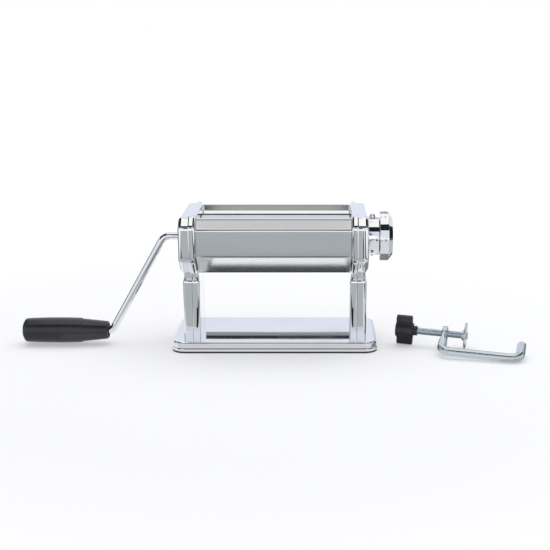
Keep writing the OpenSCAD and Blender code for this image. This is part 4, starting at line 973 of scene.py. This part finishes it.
def disc():
    """The pressure disc: a round plate on a boss, sunk a little round the rivet."""
    bore, boss_r, disc_r, back = TIP_R + 0.08, 5.2, 13.0, 19.7
    line = rounded([(DISC_BACK, bore), (DISC_BACK, boss_r), (back, boss_r), (back, disc_r), (DISC_FACE, disc_r),
                    (DISC_FACE, 5.6), (DISC_FACE - 0.35, 4.9), (DISC_FACE - 0.35, bore)],
                   [0, 0.5, 0.3, 0.7, 0.5, 0.2, 0.2, 0], step=18)
    return turned(line, 96, ring=True)


piece("clamp_pressure_plate", *disc(), "zinc_plate", "pressure_disc_body", ["pressure_disc"], place=SCREW, sharp=30)


def wing_knob():
    """Moulded wing knob: two rounded blades on a hub with a collar."""
    middle, half_w, high, thick, waist, foot, edge = -41.2, 8.0, 16.4, 5.25, 3.75, 6.2, 1.1
    quarter = [(waist, foot), (thick, high)]
    outline = [(-x, -y) for x, y in quarter] + [(x, -y) for x, y in reversed(quarter)]
    outline += quarter + [(-x, y) for x, y in reversed(quarter)]
    outline = rounded(outline, [3.0, 4.3, 4.3, 3.0] * 2, closed=True, step=15)
    ways = inward(outline, True)
    front = [(-half_w + edge * (1 - cos(a)), edge * (1 - sin(a))) for a in map(radians, (0, 22, 45, 68, 90))]
    sections = front + [(-x, inset) for x, inset in reversed(front)]
    blades = tube([[(x + middle, p.x + w.x * inset, p.y + w.y * inset) for p, w in zip(outline, ways)]
                   for x, inset in sections])
    hub = rounded([(-50.2, 0.0), (-50.2, 7.6), (-32.2, 7.6), (-32.2, 4.9), (-28.2, 4.9), (-28.2, 3.72)],
                  [0, 1.0, 0.9, 0.4, 0.5, 0], step=18)
    return join(blades, turned(hub + [(-30.0, 3.72), (-30.0, 0.0)], 72))


piece("clamp_wing_knob", *wing_knob(), "black_plastic", "clamp_screw_set", ["clamp_knob"], place=SCREW, sharp=40)


# -------- finishes of the model nodes that show themselves
for row in frame["record"]["subparts"]:
    thing = frame["nodes"][row["node"]]
    for seat in thing.material_slots:
        seat.material = FINISH[row["material_slot"]]


# -------- floor, light, camera
def ray(start, kind):
    """1 for the rays of this kind, such as Camera or Glossy, and 0 for the others."""
    return start.node("ShaderNodeLightPath", out=f"Is {kind} Ray")


def lit_floor(start):
    """A pale matt floor that camera and mirrors see glow, less so near the object."""
    mirrored = start.sum("MAXIMUM", ray(start, "Glossy"), ray(start, "Transmission"))
    seen = start.sum("MAXIMUM", ray(start, "Camera"), mirrored)
    matt = start.node("ShaderNodeBsdfDiffuse", {"Color": (0.82, 0.82, 0.83, 1)})
    glow = start.node("ShaderNodeEmission", {"Color": (1, 1, 1, 1), "Strength": 1.12})
    where = start.node("ShaderNodeTexCoord", out="Object")
    away = start.node("ShaderNodeVectorMath", {0: where}, "Value", operation="LENGTH").band(0.3, 0.8)
    return start.node("ShaderNodeMixShader", {0: seen * (0.34 + 0.66 * away), 1: matt, 2: glow})


def plane(name, place, size, material, turn=(0, 0, 0)):
    """A level sheet of the stage, turned by three angles in degrees."""
    mesh = bpy.data.meshes.new(name)
    w, d = size[0] / 2, size[1] / 2
    mesh.from_pydata([(-w, -d, 0), (w, -d, 0), (w, d, 0), (-w, d, 0)], [], [(0, 1, 2, 3)])
    mesh.materials.append(material)
    thing = placed(name, mesh)
    thing.location = place
    thing.rotation_euler = [radians(a) for a in turn]
    return thing


def card(name, place, size, colour, *turn):
    """A card that only bright metal shows, as the studio's screens do."""
    glow = surface(name, lambda start: start.node("ShaderNodeEmission", {"Color": (*colour, 1), "Strength": 1.0}))
    thing = plane(name, place, size, glow, turn or (0, 0, 0))
    thing.visible_camera = thing.visible_diffuse = thing.visible_shadow = thing.visible_transmission = False


plane("floor", (0, 0, -0.0002), (16, 16), surface("pale_floor", lit_floor))
GREY, PALE, DARK, SOFT = (0.44, 0.47, 0.49), (0.72, 0.74, 0.79), (0.015, 0.015, 0.017), (1.06, 1.05, 1.02)
BACK, SIDE = (0.11, 0.11, 0.115), (0.52, 0.54, 0.57)
for row in (
    # On the floor before the object: what the panel's slope, the housings and the dial show
    ("floor_screen", (-0.14, -0.4925, 0.0006), (0.52, 0.795), GREY),
    ("floor_screen_near", (0, -0.0725, 0.0007), (0.5, 0.045), (0.66, 0.67, 0.69)),
    ("floor_line_left", (-0.435, -0.475, 0.0006), (0.07, 0.83), DARK),
    ("floor_screen_dial", (0.182, -0.65, 0.0008), (0.112, 1.2), PALE, 0, 0, 2.67),
    ("floor_line_right", (0.1236, -0.585, 0.001), (0.007, 0.27), DARK, 0, 0, 2.67),
    ("floor_line_far", (0.33, -0.35, 0.0006), (0.18, 0.6), DARK),
    ("floor_line_neck", (-0.1405, -0.407, 0.0008), (0.519, 0.07), (0.06, 0.06, 0.065)),
    ("floor_line_bend", (-0.004, -0.131, 0.0009), (0.162, 0.078), DARK),
    # On the floor behind and beside it
    ("rear_floor_flag", (-0.53, 0.41, 0.0007), (0.84, 0.58), BACK),
    ("side_floor_screen", (-0.735, 0, 0.0009), (1.03, 0.24), SIDE),
    ("rear_floor_flag", (0.53, 0.41, 0.0007), (0.84, 0.58), BACK),
    ("side_floor_screen", (0.735, 0, 0.0009), (1.03, 0.24), SIDE),
    ("rear_floor_shade", (0.155, 0.125, 0.0009), (0.09, 0.35), (0.24, 0.24, 0.25)),
    # Upright at both sides: dark lines along the housings' edges
    ("left_flag", (-0.8, 0.485, 0.18), (0.36, 0.73), DARK, 0, 90, 0),
    ("left_flag_high", (-0.8, 0.2, 1.0), (1.2, 1.3), DARK, 0, 90, 0),
    ("right_flag_high", (0.8, 0.05, 1.0), (1.2, 0.9), DARK, 0, 90, 0),
    ("right_flag", (0.95, 0.42, 0.15), (0.30, 0.6), DARK, 0, 90, 0),
    # Upright behind the camera and leaning over it
    ("front_grey_screen", (-0.0525, -1.4, 0.675), (0.335, 0.45), (0.40, 0.41, 0.42), 90, 0, 0),
    ("front_line_left", (-0.26, -1.4, 0.7), (0.08, 0.5), DARK, 90, 0, 0),
    ("front_line_right", (0.14, -1.4, 0.7), (0.05, 0.5), DARK, 90, 0, 0),
    ("camera_side_screen", (0, -0.925, 1.355), (2.6, 0.956), DARK, 68.5, 0, 0),
    # Overhead: the bright fields of the rollers, the bead and the heads' tops
    ("overhead_screen", (-0.56, -0.26, 1.76), (1.48, 0.92), SOFT),
    ("overhead_screen_dial", (0.74, 0.44, 1.76), (1.12, 2.32), SOFT),
    ("overhead_screen_grey", (-0.06, 0.10, 1.62), (0.42, 0.30), (0.66, 0.655, 0.665)),
    # Far behind: the lines in the tray's top, and low before it: the panel's light foot
    ("rear_screen_dial", (0.55, 1.6, 1.0), (0.7, 1.1), (0.42, 0.42, 0.44), 90, 0, 0),
    ("rear_rail", (-0.135, 3.0, 0.9441), (0.65, 0.0145), (0.03, 0.03, 0.035), 90, 0, 0),
    ("rear_rail_top", (-0.135, 3.0, 0.9298), (0.65, 0.0143), (0.28, 0.29, 0.31), 90, 0, 0),
    ("low_front_screen", (-0.125, -1.9, 0.27), (0.65, 0.36), (1.35, 1.35, 1.34), 90, 0, 0),
    # Under the panels, where the open machine is dark inside
    ("under_shade", (0, -0.004, 0.079), (0.15, 0.045), (0.07, 0.07, 0.075)),
):
    card(*row)


def sky(start):
    """White to the camera, pale blue in metal and a soft grey light elsewhere."""
    tone = ray(start, "Glossy").blend((0.62, 0.63, 0.66), (0.80, 0.84, 0.95))
    tone = ray(start, "Camera").blend(tone, (1.0, 1.0, 1.0))
    return start.node("ShaderNodeBackground", {"Color": tone, "Strength": 1.0})


scene.world = drawn(bpy.data.worlds.new("studio"), "ShaderNodeOutputWorld", sky)

lamp_data = bpy.data.lights.new("soft_box", "AREA")
lamp_data.shape, lamp_data.size, lamp_data.size_y, lamp_data.energy = "RECTANGLE", 2.4, 1.8, 26
lamp = placed("soft_box", lamp_data)
lamp.location = (0.25, 0.35, 1.9)
lamp.rotation_euler = (radians(-8), radians(6), 0)
lamp.visible_glossy = False

camera_data = bpy.data.cameras.new("camera")
camera_data.sensor_width = 36
camera_data.lens = 71.44
camera_data.shift_x = -0.0767
camera_data.clip_start, camera_data.clip_end = 0.05, 50
camera = placed("camera", camera_data)
camera.location = (0.0427, -1.0887, 0.3377)
camera.rotation_euler = (radians(90 - 13.87), 0, 0)
scene.camera = camera
scene.view_settings.view_transform = "Standard"
